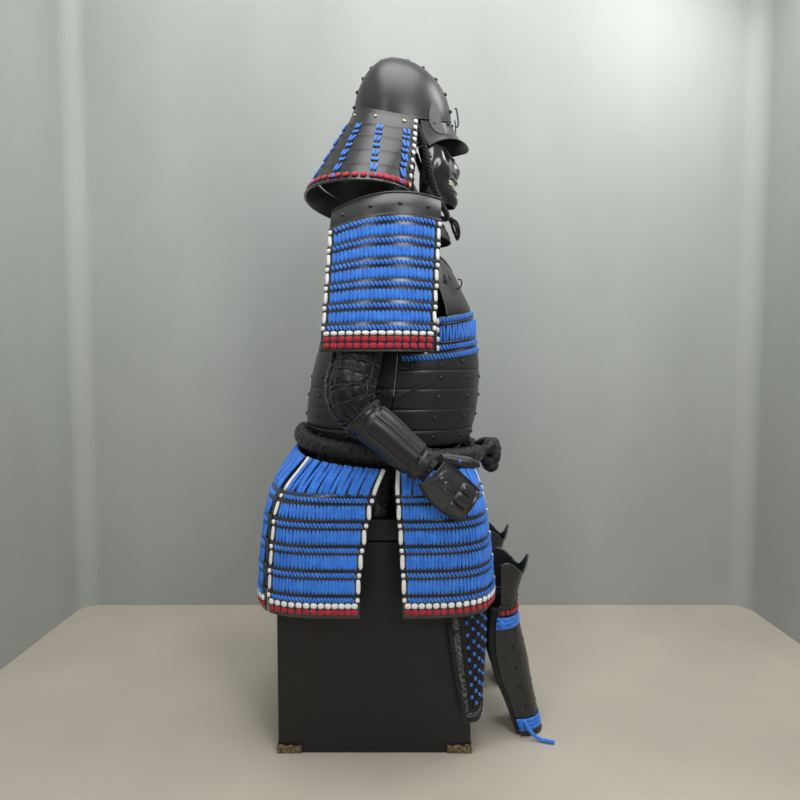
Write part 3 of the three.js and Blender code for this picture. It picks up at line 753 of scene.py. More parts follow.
def neckAt(angle, share, out=0.0):
    top = bowlRim(angle, neckSet["top"] + out)
    reach = neckSet["front"] if fold(angle) < 90 else neckSet["back"]
    s, c = math.sin(math.radians(angle)), math.cos(math.radians(angle))
    z = neckSet["z"] + neckSet["rise"] * ((1 - c) / 2) ** 2
    bottom = Vector((-(neckSet["half"] + out) * s, -(reach + out) * c, z))
    return top.lerp(bottom, share)


def neckEdge(share):
    return lerp(neckSet["ends"][0], neckSet["ends"][1], share)


def neckLame(i):
    low, high = neckShares[i], neckShares[i + 1]

    def base(u, v):
        share = lerp(low, high, v)
        edge = neckEdge(share)
        return neckAt(lerp(edge, 360 - edge, u), share, neckSet["step"] * i)

    return standOff(base, (0, -20, 1150))


def makeNeckGuard():
    lacing, white, red = newBmesh(), newBmesh(), newBmesh()
    last = len(neckShares) - 2
    for i in range(last + 1):
        on = neckLame(i)
        plateAt = lambda u, v, on=on: on(u, v, 3.4 * (1 - v) - 1.2 + 1.3 * bump(v, 0.09))
        bm = newBmesh()
        faces = gridOnto(bm, 72, 10, plateAt)[1]
        turnOut(bm, faces, (0, -20, 1150))
        name = f"neckLame{i + 1}"
        piece = finishPiece(name, bm, "plate lacquer", f"neck_guard_lame_{i + 1}")
        addWall(piece, 2.0, 0.6)
        tall = (on(0.5, 1) - on(0.5, 0)).length
        # paired braids in columns, from each lame to the one below
        if i > 0:
            for k in range(neckLacing["columns"] * 2 + 1):
                column = lerp(0.048, 0.952, k / (neckLacing["columns"] * 2))
                arc = sum((on((j + 1) / 20, 0.5) - on(j / 20, 0.5)).length for j in range(20))
                for side in (-1, 1):
                    u = column + side * neckLacing["pair"] / 2 / arc
                    size = (neckLacing["wide"], tall * 0.42, 3.4)
                    stamp(lacing, beadShape, onSurface(on, u, 0.25, 2.8), size, 8 * side)
                    stamp(lacing, beadShape, onSurface(on, u, 0.70, 1.6), (7.6, tall * 0.24, 3.6), 24 * side)
        # white knots down both front edges
        for u in (0.012, 0.988):
            for v in (0.25, 0.72):
                stamp(white, beadShape, onSurface(on, u, v, 1.8), (9, neckLacing["knot"], 5))
        if i == last:
            for k in range(neckLacing["redKnots"]):
                u = (k + 0.5) / neckLacing["redKnots"]
                stamp(red, beadShape, onSurface(on, u, 0.70, 1.4), (14.5, 13, 5.4), 6 if k % 2 else -6)
            bm = newBmesh()
            tubeAlong(
                bm, lambda v: on(v, 1.0, 0.2), wayOn(lambda v: on(v, 1.0)),
                2.6, 90, 8,
            )
            finishPiece("neckGuardRim", bm, "lame lacquer")
    finishPiece("neckLacing", lacing, "blue lacing")
    finishPiece("neckEdgeKnots", white, "white braid")
    finishPiece("neckRedKnots", red, "crimson braid")
    bm = newBmesh()
    on = neckLame(0)
    for u in (0.06, 0.2, 0.36, 0.64, 0.8, 0.94):
        stamp(bm, domeShape, onSurface(on, u, 0.4, 1.6), (8, 8, 5))
    finishPiece("neckRivets", bm, "pale brass")


def makeChinCord():
    at, way = curveThrough(chinCordPoints)
    bm = newBmesh()
    twistedBar(bm, at, way, 6.5, 480, 22, strands=3, sides=8)
    # a small bow knot with two loops hanging under the chin
    loops = [
        [
            (0, -171, 1156), (side * 14, -184, 1146), (side * 20, -190, 1124), (side * 8, -188, 1112),
            (0, -178, 1132), (0, -173, 1150),
        ]
        for side in (-1, 1)
    ]
    for loop in loops:
        at, way = curveThrough(loop)
        twistedBar(bm, at, way, 3.6, 110, 14, strands=2, sides=6)
    knot = frameAt(Vector((0, -173, 1154)), Vector((1, 0, 0)), Vector((0, -1, 0)))
    stamp(bm, beadShape, knot, (17, 15, 12))
    finishPiece("chinCord", bm, "black cord", "chin_cord")


print("helmet")
makeBowl()
makeTemples()
makeBrim()
makeNeckGuard()
makeChinCord()

# ---- mask and throat guard ----

maskSet = {"top": 1290, "chin": 1180, "halfAngle": 100, "middleY": -112, "thick": 2.4}
maskHalf = smooth([(0, 40), (0.2, 60), (0.5, 71), (1, 75)])
maskFront = smooth([(0, 70), (0.18, 73), (0.35, 68), (0.6, 66), (1, 58)])


def maskAt(u, v):
    # a calm half mask on even proportions: nose ridge, round cheeks, lips and smile folds
    angle = lerp(-maskSet["halfAngle"], maskSet["halfAngle"], u)
    wide = abs(angle)
    s, c = math.sin(math.radians(angle)), math.cos(math.radians(angle))
    lift = 14 * s * s
    z = lerp(maskSet["chin"] + 0.5 * lift, maskSet["top"] + lift, v)
    nose = 15 * bump(angle, 11 + 8 * (1 - v)) * bump(v - 0.74, 0.2) + 7 * bump(angle, 9) * bump(v - 0.95, 0.2)
    nostril = 4 * bump(wide - 15, 6) * bump(v - 0.66, 0.06)
    cheek = 7 * bump(wide - 48, 18) * bump(v - 0.66, 0.2)
    foldLine = -3.2 * bump(wide - (26 + 26 * (0.8 - v)), 4) * bump(v - 0.55, 0.26)
    creases = 0.9 * math.sin(0.28 * wide + 14 * v) * bump(wide - 60, 26) * bump(v - 0.55, 0.34)
    lips = 6 * bump(angle, 38) * (bump(v - 0.505, 0.035) + bump(v - 0.30, 0.04))
    mouth = -9 * bump(angle, 36) * bump(v - 0.40, 0.055)
    chin = 4 * bump(angle, 20) * bump(v - 0.12, 0.09)
    relief = nose + nostril + cheek + foldLine + creases + lips + mouth + chin
    reach = maskFront(v) + relief
    return Vector((-(maskHalf(v) + cheek + creases) * s, maskSet["middleY"] - reach * max(c, -0.2), z))


def makeMask():
    shell(
        "faceMask", maskAt, 110, 72, maskSet["thick"], "mask lacquer", (0, -95, 1240),
        "face_mask", bevel=0.4,
    )
    maskOn = standOff(maskAt, (0, -95, 1240))
    bm = newBmesh()
    for v, tall in ((0.436, 7.5), (0.364, 6.5)):
        for k in range(16):
            angle = lerp(-37, 37, k / 15)
            u = 0.5 + angle / (2 * maskSet["halfAngle"])
            size = (5.6, tall, 4.5)
            stamp(bm, beadShape, onSurface(maskOn, u, v, 3.2), size)
    finishPiece("maskTeeth", bm, "ivory lacquer")
    bm = newBmesh()
    for side in (0.09, 0.91):  # cord pegs on the cheeks
        for v in (0.35, 0.75):
            stamp(bm, domeShape, onSurface(maskOn, side, v, 1), (7, 7, 8))
    rim = lambda v: maskAt(v, 1.0) + Vector((0, 0, 0.5))
    tubeAlong(bm, rim, wayOn(rim), 1.9, 80, 8)
    finishPiece("maskRim", bm, "mask lacquer")


throatSet = {"rows": 3, "top": 1149, "bottom": 1100, "halfAngle": 104, "climb": 80, "lift": 14}


def throatAt(u, v):
    angle = lerp(-throatSet["halfAngle"], throatSet["halfAngle"], u)
    s, c = math.sin(math.radians(angle)), math.cos(math.radians(angle))
    share = abs(angle) / throatSet["halfAngle"]
    high = throatSet["top"] + throatSet["climb"] * share**3
    low = throatSet["bottom"] + throatSet["lift"] * share**2
    return Vector((-lerp(80, 94, v) * s, -92 - lerp(56, 82, v) * c, lerp(high, low, v)))


def makeThroat():
    on = standOff(throatAt, (0, -80, 1100))
    bm = newBmesh()
    for i in range(throatSet["rows"]):
        low, high = i / throatSet["rows"], (i + 1) / throatSet["rows"]
        plateAt = lambda u, v, a=low, b=high: on(u, lerp(a, b, v), 1.8 * (1 - v) - 1)
        turnOut(bm, gridOnto(bm, 36, 4, plateAt)[1], (0, -80, 1100))
    piece = finishPiece("throatGuard", bm, "plate lacquer", "throat_guard")
    addWall(piece, 1.8, 0.5)
    bm = newBmesh()
    for i in range(1, throatSet["rows"]):
        for k in range(9):
            u = (k + 0.5) / 9
            stamp(bm, strandShape, onSurface(on, u, i / throatSet["rows"] + 0.03, 2), (6, 12, 3))
    finishPiece("throatLacing", bm, "black cord")


# ---- cuirass ----

cuirassHalf = smooth([(646, 184), (700, 190), (780, 195), (870, 190), (950, 172), (1020, 150), (1080, 128)])
cuirassFront = smooth([
    (646, -216), (715, -232), (780, -238), (830, -236), (872, -231), (936, -221), (977, -202), (1019, -182),
    (1062, -154),
])
cuirassBack = smooth([
    (646, 146), (664, 153), (700, 163), (772, 154), (841, 139), (950, 110), (1060, 90), (1090, 86),
])
cuirassSet = {
    "roundness": 2.25, "edges": (646.5, 681, 726, 769, 809), "sideTop": 850,
    "thick": 2.2, "gap": 0.4, "lip": 1.3,
}
rivetSet = {"size": 9, "tall": 6.5, "up": 0.58, "angles": (14, 38, 62)}
bodyMiddle = (0, -35, 800)


def cuirassAt(angle, z, out=0.0):
    base = ring(
        cuirassHalf(z), cuirassFront(z), cuirassBack(z), cuirassSet["roundness"], angle, z
    )
    away = Vector((base.x, base.y + 35, 0)).normalized()
    return base + away * out


def climb(z, rise):
    return lambda angle: z + rise * math.cos(math.radians(fold(angle))) ** 2


def level(z):
    return lambda angle: z


def cuirassPanel(span, low, high, out=0.0):
    # the edges of each lame roll in a little, which draws the line between lames
    def base(u, v):
        angle = lerp(span[0], span[1], u)
        edge = min(v, 1 - v)
        return cuirassAt(angle, lerp(low(angle), high(angle), v), out - cuirassSet["lip"] * bump(edge, 0.035))

    return standOff(base, bodyMiddle)


def plateLame(name, node, span, low, high, out=0.0, nv=10):
    on = cuirassPanel(span, low, high, out)
    bm = newBmesh()
    turnOut(bm, gridOnto(bm, 90, nv, on)[1], bodyMiddle)
    piece = finishPiece(name, bm, "plate lacquer", node)
    return addWall(piece, cuirassSet["thick"], 0.5)


def makeCuirass():
    edges = cuirassSet["edges"]
    rivets = newBmesh()
    for i in range(4):
        low, high = level(edges[i]), level(edges[i + 1] - cuirassSet["gap"])
        plateLame(f"frontLame{5 - i}", f"front_lame_{5 - i}", (-89.7, 89.7), low, high, 0.3 * (i % 2))
        backHigh = level(cuirassSet["sideTop"]) if i == 3 else high
        plateLame(f"backLame{4 - i}", f"back_lame_{4 - i}", (90.4, 269.6), low, backHigh, 0.3 * (i % 2))
        for angle in rivetSet["angles"]:
            for a in (angle, -angle, 180 - angle, 180 + angle):
                z = lerp(edges[i], edges[i + 1], rivetSet["up"])
                spot = cuirassAt(a, z, 0.2)
                out = Vector((spot.x, spot.y + 35, 0)).normalized()
                size = (rivetSet["size"], rivetSet["size"], rivetSet["tall"])
                stamp(rivets, domeShape, frameAt(spot, Vector((0, 0, 1)), out), size)
    topEdge = climb(840, 24)
    plateLame("frontLame1", "front_lame_1", (-89.7, 89.7), level(edges[4]), topEdge, 0.6)
    neckline = lambda angle: 1064 - 34 * bump(angle, 26)
    chestLow = lambda angle: climb(912, 32)(angle) + cuirassSet["gap"]
    plateLame("chestPlate", "chest_plate", (-57, 57), chestLow, neckline, 0, 24)
    nape = lambda angle: 1086 - 22 * bump(angle - 180, 26)
    backLow = level(cuirassSet["sideTop"] + cuirassSet["gap"])
    plateLame("backPlate", "back_plate", (116, 244), backLow, nape, 0, 30)
    lacedLow = lambda angle: topEdge(angle) + cuirassSet["gap"]
    plateLame("chestLacedLame", "chest_laced_lame", (-66, 66), lacedLow, climb(912, 32), -0.6)
    for a in (-81, -63, -45, 45, 63, 81):
        spot = cuirassAt(a, topEdge(a) - 26, 0.8)
        out = Vector((spot.x, spot.y + 35, 0)).normalized()
        stamp(rivets, domeShape, frameAt(spot, Vector((0, 0, 1)), out), (9, 9, 6.5))
    finishPiece("cuirassRivets", rivets, "plate lacquer")
    makeChestLacing(topEdge)
    makeCuirassRims(neckline, nape, chestLow)


def bandPoint(angle, z, out):
    spot = cuirassAt(angle, z, out)
    away = Vector((spot.x, spot.y + 35, 0)).normalized()
    across = cuirassAt(angle + 0.5, z) - cuirassAt(angle - 0.5, z)
    return frameAt(spot, across, away)


def makeChestLacing(topEdge):
    # twisted row along the top lame, then the laced chest band between two twisted rows
    bm = newBmesh()
    step = 2.35
    count = int(172 / step)
    for k in range(count):
        a = lerp(-86, 86, k / (count - 1))
        stamp(bm, strandShape, bandPoint(a, topEdge(a) - 9, 2.4), (6.2, 12.5, 4), 38)
    upper = climb(912, 32)
    count = int(126 / step)
    for k in range(count):
        a = lerp(-63, 63, k / (count - 1))
        low, high = topEdge(a), upper(a)
        stamp(bm, strandShape, bandPoint(a, low + 9, 1.6), (6.2, 12, 4), 38)
        stamp(bm, strandShape, bandPoint(a, high - 8, 1.6), (6.2, 12, 4), 38)
        middle, tall = (low + high) / 2, (high - low) - 38
        stamp(bm, pointedShape, bandPoint(a, middle, 2.0), (6.6, tall, 4.2), 3 if k % 2 else -3)
    finishPiece("chestLacing", bm, "blue lacing")
    bm = newBmesh()
    for side in (-1, 1):
        for share in (0.12, 0.37, 0.63, 0.88):
            a = side * 65
            z = lerp(topEdge(a), upper(a), share)
            stamp(bm, beadShape, bandPoint(a, z, 1.6), (7.5, 12, 4.5))
    finishPiece("chestEdgeKnots", bm, "white braid")
    bm = newBmesh()
    for z0 in (19, -16):
        def lineAt(v, z0=z0):
            a = lerp(-63, 63, v)
            return cuirassAt(a, (topEdge(a) + z0) if z0 > 0 else (upper(a) + z0), 1.0)

        tubeAlong(bm, lineAt, wayOn(lineAt), 1.6, 60, 6)
    finishPiece("chestBandLines", bm, "lame lacquer")


def makeCuirassRims(neckline, nape, chestLow):
    # rolled rims round the neck and the armholes, and the fastenings on the chest plate
    bm = newBmesh()

    def follow(pointAt, radius=2.8, steps=60):
        tubeAlong(bm, pointAt, wayOn(pointAt), radius, steps, 8)

    follow(lambda v: cuirassAt(lerp(-57, 57, v), neckline(lerp(-57, 57, v)), -0.6))
    follow(lambda v: cuirassAt(lerp(116, 244, v), nape(lerp(116, 244, v)), -0.6))
    for s in (-1, 1):
        follow(lambda v, s=s: cuirassAt(57 * s, lerp(chestLow(57), neckline(57), v), -0.6), 2.6, 30)
        backEdge = lambda v, s=s: cuirassAt(180 + 64 * s, lerp(cuirassSet["edges"][4], nape(244), v), -0.6)
        follow(backEdge, 2.6, 40)
        # a curled hook and a ring on each side of the chest
        spot = cuirassAt(34 * s, 985, 1)
        bends = ((0, 0, 0), (-3 * s, -6, 4), (-4 * s, -9, 12), (-3 * s, -7, 20), (0, -1, 20))
        loop = [spot + Vector(bend) for bend in bends]
        at, way = curveThrough(loop)
        tubeAlong(bm, at, way, 1.7, 18, 8, upward=(1, 0.2, 0))
        matrix = bandPoint(46 * s, 1000, 2)
        ringAt = lambda v, m=matrix: m @ Vector((9 * math.cos(6.2832 * v), 9 * math.sin(6.2832 * v), 1.5))
        ringWay = lambda v, f=ringAt: (f(v + 0.01) - f(v - 0.01)).normalized()
        tubeAlong(bm, ringAt, ringWay, 1.5, 28, 8, upward=matrix.to_3x3() @ Vector((0, 0, 1)))
        stamp(bm, domeShape, bandPoint(46 * s, 1010, 1), (9, 9, 7))
    finishPiece("cuirassRims", bm, "lame lacquer")


strapPoints = [(0, -132, 1072), (0, -112, 1090), (0, -70, 1106), (0, -15, 1112), (0, 40, 1106), (0, 74, 1094)]


def makeStraps():
    at = curveThrough(strapPoints)[0]
    for side, sign, node in (("Right", -1, "shoulder_strap_right"), ("Left", 1, "shoulder_strap_left")):
        def strapAt(u, v, sign=sign):
            spot = at(v)
            pad = 2.0 * math.sin(math.pi * u) + 0.8 * abs(math.sin(9 * math.pi * v))
            return Vector((sign * lerp(66, 124, u), spot.y, spot.z - 12 * u + pad))

        inside = (sign * 95, -30, 1000)
        shell(f"shoulderStrap{side}", strapAt, 16, 60, 5, "black satin", inside, node)
        bm = newBmesh()
        for u in (0.0, 1.0):
            edge = lambda v, u=u, f=strapAt: f(u, v)
            tubeAlong(bm, edge, wayOn(edge), 2.6, 60, 8)
        spot = strapAt(0.5, 0.02)  # toggle at the front end
        toggle = frameAt(spot + Vector((0, -6, -2)), Vector((1, 0, 0)), Vector((0, -1, 0.3)))
        stamp(bm, beadShape, toggle, (30, 9, 9))
        finishPiece(f"strapPiping{side}", bm, "black cord")


# ---- laced panels: the skirt and the shoulder guards ----

laceSet = {"edge": 6.5, "twist": 11, "line": 3.4, "proud": 4.6, "thick": 1.8}


def lacedPanel(name, on, rows, columns, wide, node, trim, topCords=None):
    # rows: heights of each lame's top edge, then the foot of the lowest. on(u, z, out) is the surface.
    plates, blue, white, red = newBmesh(), newBmesh(), newBmesh(), newBmesh()
    pitchWide = wide / columns
    lames = len(rows) - 1
    margin = 9 / wide

    def place(u, z, out):
        across = on(min(u + 0.01, 1), z) - on(max(u - 0.01, 0), z)
        down = on(u, z + 1) - on(u, z - 1)
        away = across.cross(down).normalized() * on.sign
        return frameAt(on(u, z) + away * out, across, away)

    def outward(u, z, out):
        return place(u, z, out).translation

    for i in range(lames):
        top, foot = rows[i], rows[i + 1] - 3
        last = i == lames - 1
        if last:
            foot = rows[i + 1]

        def plateAt(u, v, top=top, foot=foot):
            proud = laceSet["proud"] * (1 - v) + 0.2 - 1.2 * bump(v, 0.06)
            return outward(u, lerp(top, foot, v), proud)

        turnOut(plates, gridOnto(plates, 26, 6, plateAt)[1], on.inside)
        proudAt = lambda z, top=top, foot=foot: laceSet["proud"] * (z - foot) / (top - foot)
        rowZ = top - laceSet["edge"] - laceSet["twist"] / 2
        for k in range(columns):  # a row of slanting cross knots
            u = lerp(margin * 1.5, 1 - margin * 1.5, (k + 0.5) / columns)
            size = (pitchWide * 0.62, laceSet["twist"] * 1.15, 4.6)
            stamp(blue, beadShape, place(u, rowZ, proudAt(rowZ) + 1.6), size, 36)
        stripTop = rowZ - laceSet["twist"] / 2 - laceSet["line"]
        if not last:
            stripFoot = rows[i + 1] - 2
            tall = stripTop - stripFoot
            for k in range(columns):
                u = lerp(margin * 1.5, 1 - margin * 1.5, (k + 0.5) / columns)
                sway = 3.4 * math.sin(2.1 * k + 1.3 * i) * (1 if k % 2 else -1)
                z = (stripTop + stripFoot) / 2
                lift = 2.0 + 0.4 * math.sin(3.7 * k + i)
                size = (pitchWide * 0.95, tall, 4.6)
                stamp(blue, pointedShape, place(u, z, proudAt(z) + lift), size, sway)
        else:
            z = stripTop + laceSet["line"] * 0.9
            beads = round(wide / trim["bead"])
            for row, kind in enumerate(trim["rows"]):
                height = trim[kind]
                z -= height / 2
                for k in range(beads):
                    u = lerp(margin * 0.5, 1 - margin * 0.5, (k + 0.5) / beads)
                    size = (trim["bead"] * 0.9, height, 6)
                    target = white if kind == "white" else red
                    stamp(target, beadShape, place(u, z, proudAt(z) + 1.6), size, 5 if (k + row) % 2 else -5)
                z -= height / 2 + 0.6
        # white edging: a knot on each lame's edge and a long stitch below it
        for u in trim["edges"]:
            stamp(white, beadShape, place(u, rowZ, proudAt(rowZ) + 1.8), (9, 9.5, 5.5))
            if not last:
                z = (stripTop + rows[i + 1]) / 2
                stamp(white, strandShape, place(u, z, proudAt(z) + 2.2), (9, stripTop - rows[i + 1] + 2, 5))
    if topCords:
        topCords(place, blue, white, plates, margin, pitchWide)
    piece = finishPiece(f"{name}Lames", plates, "lame lacquer", node)
    addWall(piece, laceSet["thick"], 0.5)
    finishPiece(f"{name}Lacing", blue, "blue lacing")
    finishPiece(f"{name}Edging", white, "white braid")
    finishPiece(f"{name}Knots", red, "crimson braid")


skirtHalf = smooth([(300, 261), (430, 252), (560, 240), (600, 226), (640, 204)])
skirtFront = smooth([(300, -262), (430, -250), (560, -231), (600, -222), (640, -212)])
skirtBack = smooth([(300, 254), (430, 246), (560, 226), (600, 204), (640, 176)])
skirtRoundness = smooth([(300, 4.6), (515, 4.6), (560, 3.4), (600, 2.6), (640, 2.3)])
sashZ = smooth([(0, 615), (90, 632), (180, 664)])
tassetSet = {
    "rows": (560, 511, 462, 413, 364, 314), "top": 612, "sashClear": 25, "bead": 15,
    "bare": {1: (0, 1), 4: (0,), 5: (1,)},
    # side edges as angles at the sash, then at the bottom
    "spans": (
        (-25, 25, -25, 25), (26, 81, 26, 77.8), (85.6, 134, 96.6, 134), (135, 179.4, 135, 179.4),
        (180.6, 225, 180.6, 225), (226, 274.4, 226, 263.4), (279, 334, 282.2, 334),
    ),
}


def skirtAt(angle, z):
    return ring(skirtHalf(z), skirtFront(z), skirtBack(z), skirtRoundness(z), angle, z)


def makeTasset(index, span):
    rows = tassetSet["rows"]

    def on(u, z):
        v = max(0, (tassetSet["top"] - z) / (tassetSet["top"] - rows[-1]))
        drawn = 1 - (1 - v) ** 2
        return skirtAt(lerp(lerp(span[0], span[2], drawn), lerp(span[1], span[3], drawn), u), z)

    # across (rising angle) x down: outward on a ring seen from above
    on.sign = 1
    on.inside = (0, 0, 450)
    probe = (on(0.6, 450) - on(0.4, 450)).cross(on(0.5, 451) - on(0.5, 449))
    on.sign = 1 if probe.dot(on(0.5, 450) - Vector(on.inside)) > 0 else -1
    wide = sum((on((k + 1) / 16, 440) - on(k / 16, 440)).length for k in range(16))
    columns = int(wide / 8.2)
    bare = tassetSet["bare"].get(index, ())
    edges = [abs(side - 5 / wide) for side in (0, 1) if side not in bare]

    def topCords(place, blue, white, plates, margin, pitchWide):
        # long cords from the waist to the first lame, over a dark backing
        def topZ(u):
            return sashZ(fold(lerp(span[0], span[1], u))) - tassetSet["sashClear"]

        def backing(u, v):
            z = lerp(topZ(u), rows[0] - 2, v)
            return place(u, z, -1.6).translation

        turnOut(plates, gridOnto(plates, 20, 5, backing)[1], on.inside)
        cords = int(columns * 0.9)
        for k in range(cords):
            u = lerp(margin * 1.5, 1 - margin * 1.5, (k + 0.5) / cords)
            start, end = topZ(u), rows[0] - 3
            parts = 4

            def strand(v, u=u, start=start, end=end, k=k):
                z = lerp(start, end, v)
                lift = 1.8 + 1.6 * math.sin(math.pi * v) + 1.2 * math.sin(2.3 * k)
                shift = u + 0.35 * math.sin(1.9 * k + 2.2 * v) * pitchWide / wide
                return place(shift, z, lift).translation

            way = wayOn(strand, 0.02)
            tall = pitchWide * 0.56
            up = place(u, (start + end) / 2, 0).to_3x3() @ Vector((0, 0, 1))
            tubeAlong(blue, strand, way, tall, parts + 3, 6, squash=0.62, upward=up)
        for u in edges:
            strand = lambda v, u=u: place(u, lerp(topZ(u), rows[0] - 1, v), 3.4).translation
            way = wayOn(strand, 0.02)
            up = place(u, 590, 0).to_3x3() @ Vector((0, 0, 1))
            tubeAlong(white, strand, way, 4.4, 7, 6, squash=0.7, upward=up)

    lacedPanel(
        f"tasset{index}", on, rows, columns, wide, f"tasset_{index}",
        {"bead": tassetSet["bead"], "white": 12, "red": 12.5, "rows": ("white", "red"), "edges": edges},
        topCords,
    )


sodeSet = {
    "top": 1157, "bottom": 844, "chord": 222, "curl": 35, "outTop": 236, "outBottom": 286,
    "midTop": -27, "midBottom": -10, "rows": (1112, 1070, 1028, 986, 944, 902, 846), "bead": 16.6,
    "columns": 25, "wide": 234,
}


def sodePoint(u, z, sign):
    v = (sodeSet["top"] - z) / (sodeSet["top"] - sodeSet["bottom"])
    across = 2 * u - 1
    bend = 16 * max(0, 1 - v / 0.12) ** 2
    out = lerp(sodeSet["outTop"], sodeSet["outBottom"], v) - bend - sodeSet["curl"] * across * across
    y = lerp(sodeSet["midTop"], sodeSet["midBottom"], v) + sodeSet["chord"] / 2 * across
    arch = (17 * across * across + 12 * across) * max(0, 1 - v) ** 1.5
    return Vector((sign * out, y, z - arch))


def makeSode(side, sign):
    on = lambda u, z: sodePoint(u, z, sign)
    on.inside = (0, -20, 980)
    probe = (on(0.6, 980) - on(0.4, 980)).cross(on(0.5, 981) - on(0.5, 979))
    on.sign = 1 if probe.dot(on(0.5, 980) - Vector(on.inside)) > 0 else -1
    node = f"sode_{side.lower()}"
    rows = sodeSet["rows"]
    lacedPanel(
        f"sode{side}", on, rows, sodeSet["columns"], sodeSet["wide"], node,
        {
            "bead": sodeSet["bead"], "white": 9, "red": 12.2, "rows": ("white", "red", "red"),
            "edges": (0.022, 0.978),
        },
    )

    def capAt(u, v):
        z = lerp(sodeSet["top"], rows[0] - 2, v)
        spot = on(u, z)
        return spot + Vector((sign * (5 - 2.4 * v), 0, 0))

    shell(
        f"sodeCap{side}", capAt, 40, 12, 3, "plate lacquer", (0, -20, 1100), bevel=0.8
    )
    bm = newBmesh()
    for u in (0.12, 0.37, 0.63, 0.88):
        spot = capAt(u, 0.55)
        stamp(bm, domeShape, frameAt(spot, Vector((0, 1, 0)), Vector((sign, 0, 0.1))), (9, 9, 7))
    rim = lambda v: capAt(v, 0.0)
    tubeAlong(bm, rim, wayOn(rim), 2.6, 50, 8)
    # the hem rod under the lowest knots
    hem = lambda v: on(v, rows[-1]) + Vector((sign * 0.5, 0, 0))
    tubeAlong(bm, hem, wayOn(hem), 2.6, 50, 8)
    finishPiece(f"sodeTrim{side}", bm, "plate lacquer")


print("mask and cuirass")
makeMask()
makeThroat()
makeCuirass()
makeStraps()
print("laced panels")
for number, span in enumerate(tassetSet["spans"]):
    makeTasset(number + 1, span)
makeSode("Right", -1)
makeSode("Left", 1)


# ---- sash ----

sashSet = {"radius": 18, "half": 205.5, "front": -236, "back": 172.5, "knotAngle": 13, "roundness": 2.25}
knotSet = {"middle": (0, -262, 605), "lobe": 16.5}


def sashPoint(angle):
    return ring(
        sashSet["half"], sashSet["front"], sashSet["back"], sashSet["roundness"], angle, sashZ(fold(angle))
    )


def makeSash():
    # a padded crepe tube with soft wrinkles that run round it
    bm = newBmesh()
    first, last = sashSet["knotAngle"], 360 - sashSet["knotAngle"]

    def bandAt(u, v):
        angle = lerp(first, last, v)
        middle = sashPoint(angle)
        way = (sashPoint(angle + 1) - sashPoint(angle - 1)).normalized()
        side = way.cross(Vector((0, 0, 1))).normalized()
        top = side.cross(way)
        a = 2 * math.pi * u
        crease = 0.9 * math.sin(0.9 * angle + 2.2 * math.sin(a))
        crease += 0.7 * math.sin(2.3 * angle + 3 * math.cos(a + 0.4))
        seam = -2.4 * bump((u - 0.12 + 0.02 * math.sin(angle / 9)) * 360, 11)
        size = (sashSet["radius"] + 0.8 + crease + seam) * (1 - 0.16 * bump(min(v, 1 - v), 0.012))
        return middle + side * size * math.cos(a) + top * size * math.sin(a)

    gridOnto(bm, 40, 340, bandAt)
    bmesh.ops.remove_doubles(bm, verts=bm.verts[:], dist=0.01)
    ends = [e for e in bm.edges if e.is_boundary]
    bmesh.ops.holes_fill(bm, edges=ends, sides=60)
    piece = finishPiece("sashBand", bm, "sash crepe", "sash_band", turn=True)


def makeSashKnot():
    # a square knot: lobes of the same tube folded over one another
    x, y, z = knotSet["middle"]
    r = knotSet["lobe"]
    lobes = [
        ([(46, 22, 14), (30, 2, 22), (6, -14, 18), (-14, -14, 2), (-24, -2, -14), (-38, 16, -2)], r),
        ([
            (-46, 22, 14), (-32, 0, 22), (-14, -6, 24), (4, -2, 10), (20, -10, -6), (32, -4, -18),
            (40, 18, -6),
        ], r),
        ([(-26, 8, 28), (-8, -12, 28), (12, -12, 24), (28, 2, 26)], r * 0.85),
        ([(-22, 2, -26), (-6, -10, -24), (10, -8, -26), (24, 6, -22)], r * 0.95),
    ]
    bm = newBmesh()
    for index, (points, size) in enumerate(lobes):
        at, way = curveThrough([(x + px, y + py, z + pz) for px, py, pz in points])

        def thick(v, size=size, index=index):
            ends = min(1, 0.55 + 3 * min(v, 1 - v))
            return size * ends * (1 + 0.05 * math.sin(31 * v + index) + 0.03 * math.sin(67 * v))

        tubeAlong(bm, at, way, thick, 44, 20, upward=(0.05, 0.1, 1))
    piece = finishPiece("sashKnot", bm, "sash crepe", "sash_knot", turn=True)


# ---- waist cloth ----

waistSet = {"top": 636, "hem": 500.6, "pleat": 4.0, "roundness": 2.3, "thick": 1.6}


def waistAt(u, v):
    angle = 360 * u
    pleat = waistSet["pleat"] * v * math.cos(math.radians(12 * angle))
    small = 1.1 * v * math.sin(math.radians(41 * angle) + 5 * v)
    small += 0.8 * math.sin(9 * v + math.radians(7 * angle))
    sag = -3.5 * bump(v - 0.86, 0.07) * (0.5 + 0.5 * math.sin(math.radians(11 * angle)))
    wave = pleat + small + sag
    return ring(
        lerp(172, 190, v) + wave, lerp(-196, -193, v) - wave, lerp(148, 186, v) + wave,
        waistSet["roundness"], angle, lerp(waistSet["top"], waistSet["hem"], v),
    )


def makeWaistCloth():
    piece = shell(
        "waistCloth", waistAt, 320, 26, waistSet["thick"], "black satin", (0, 0, 560),
        "waist_cloth", around=True, bevel=0,
    )
    around = sum((waistAt((k + 1) / 320, 0.9) - waistAt(k / 320, 0.9)).length for k in range(320))


# ---- sleeves, forearm and hand guards ----

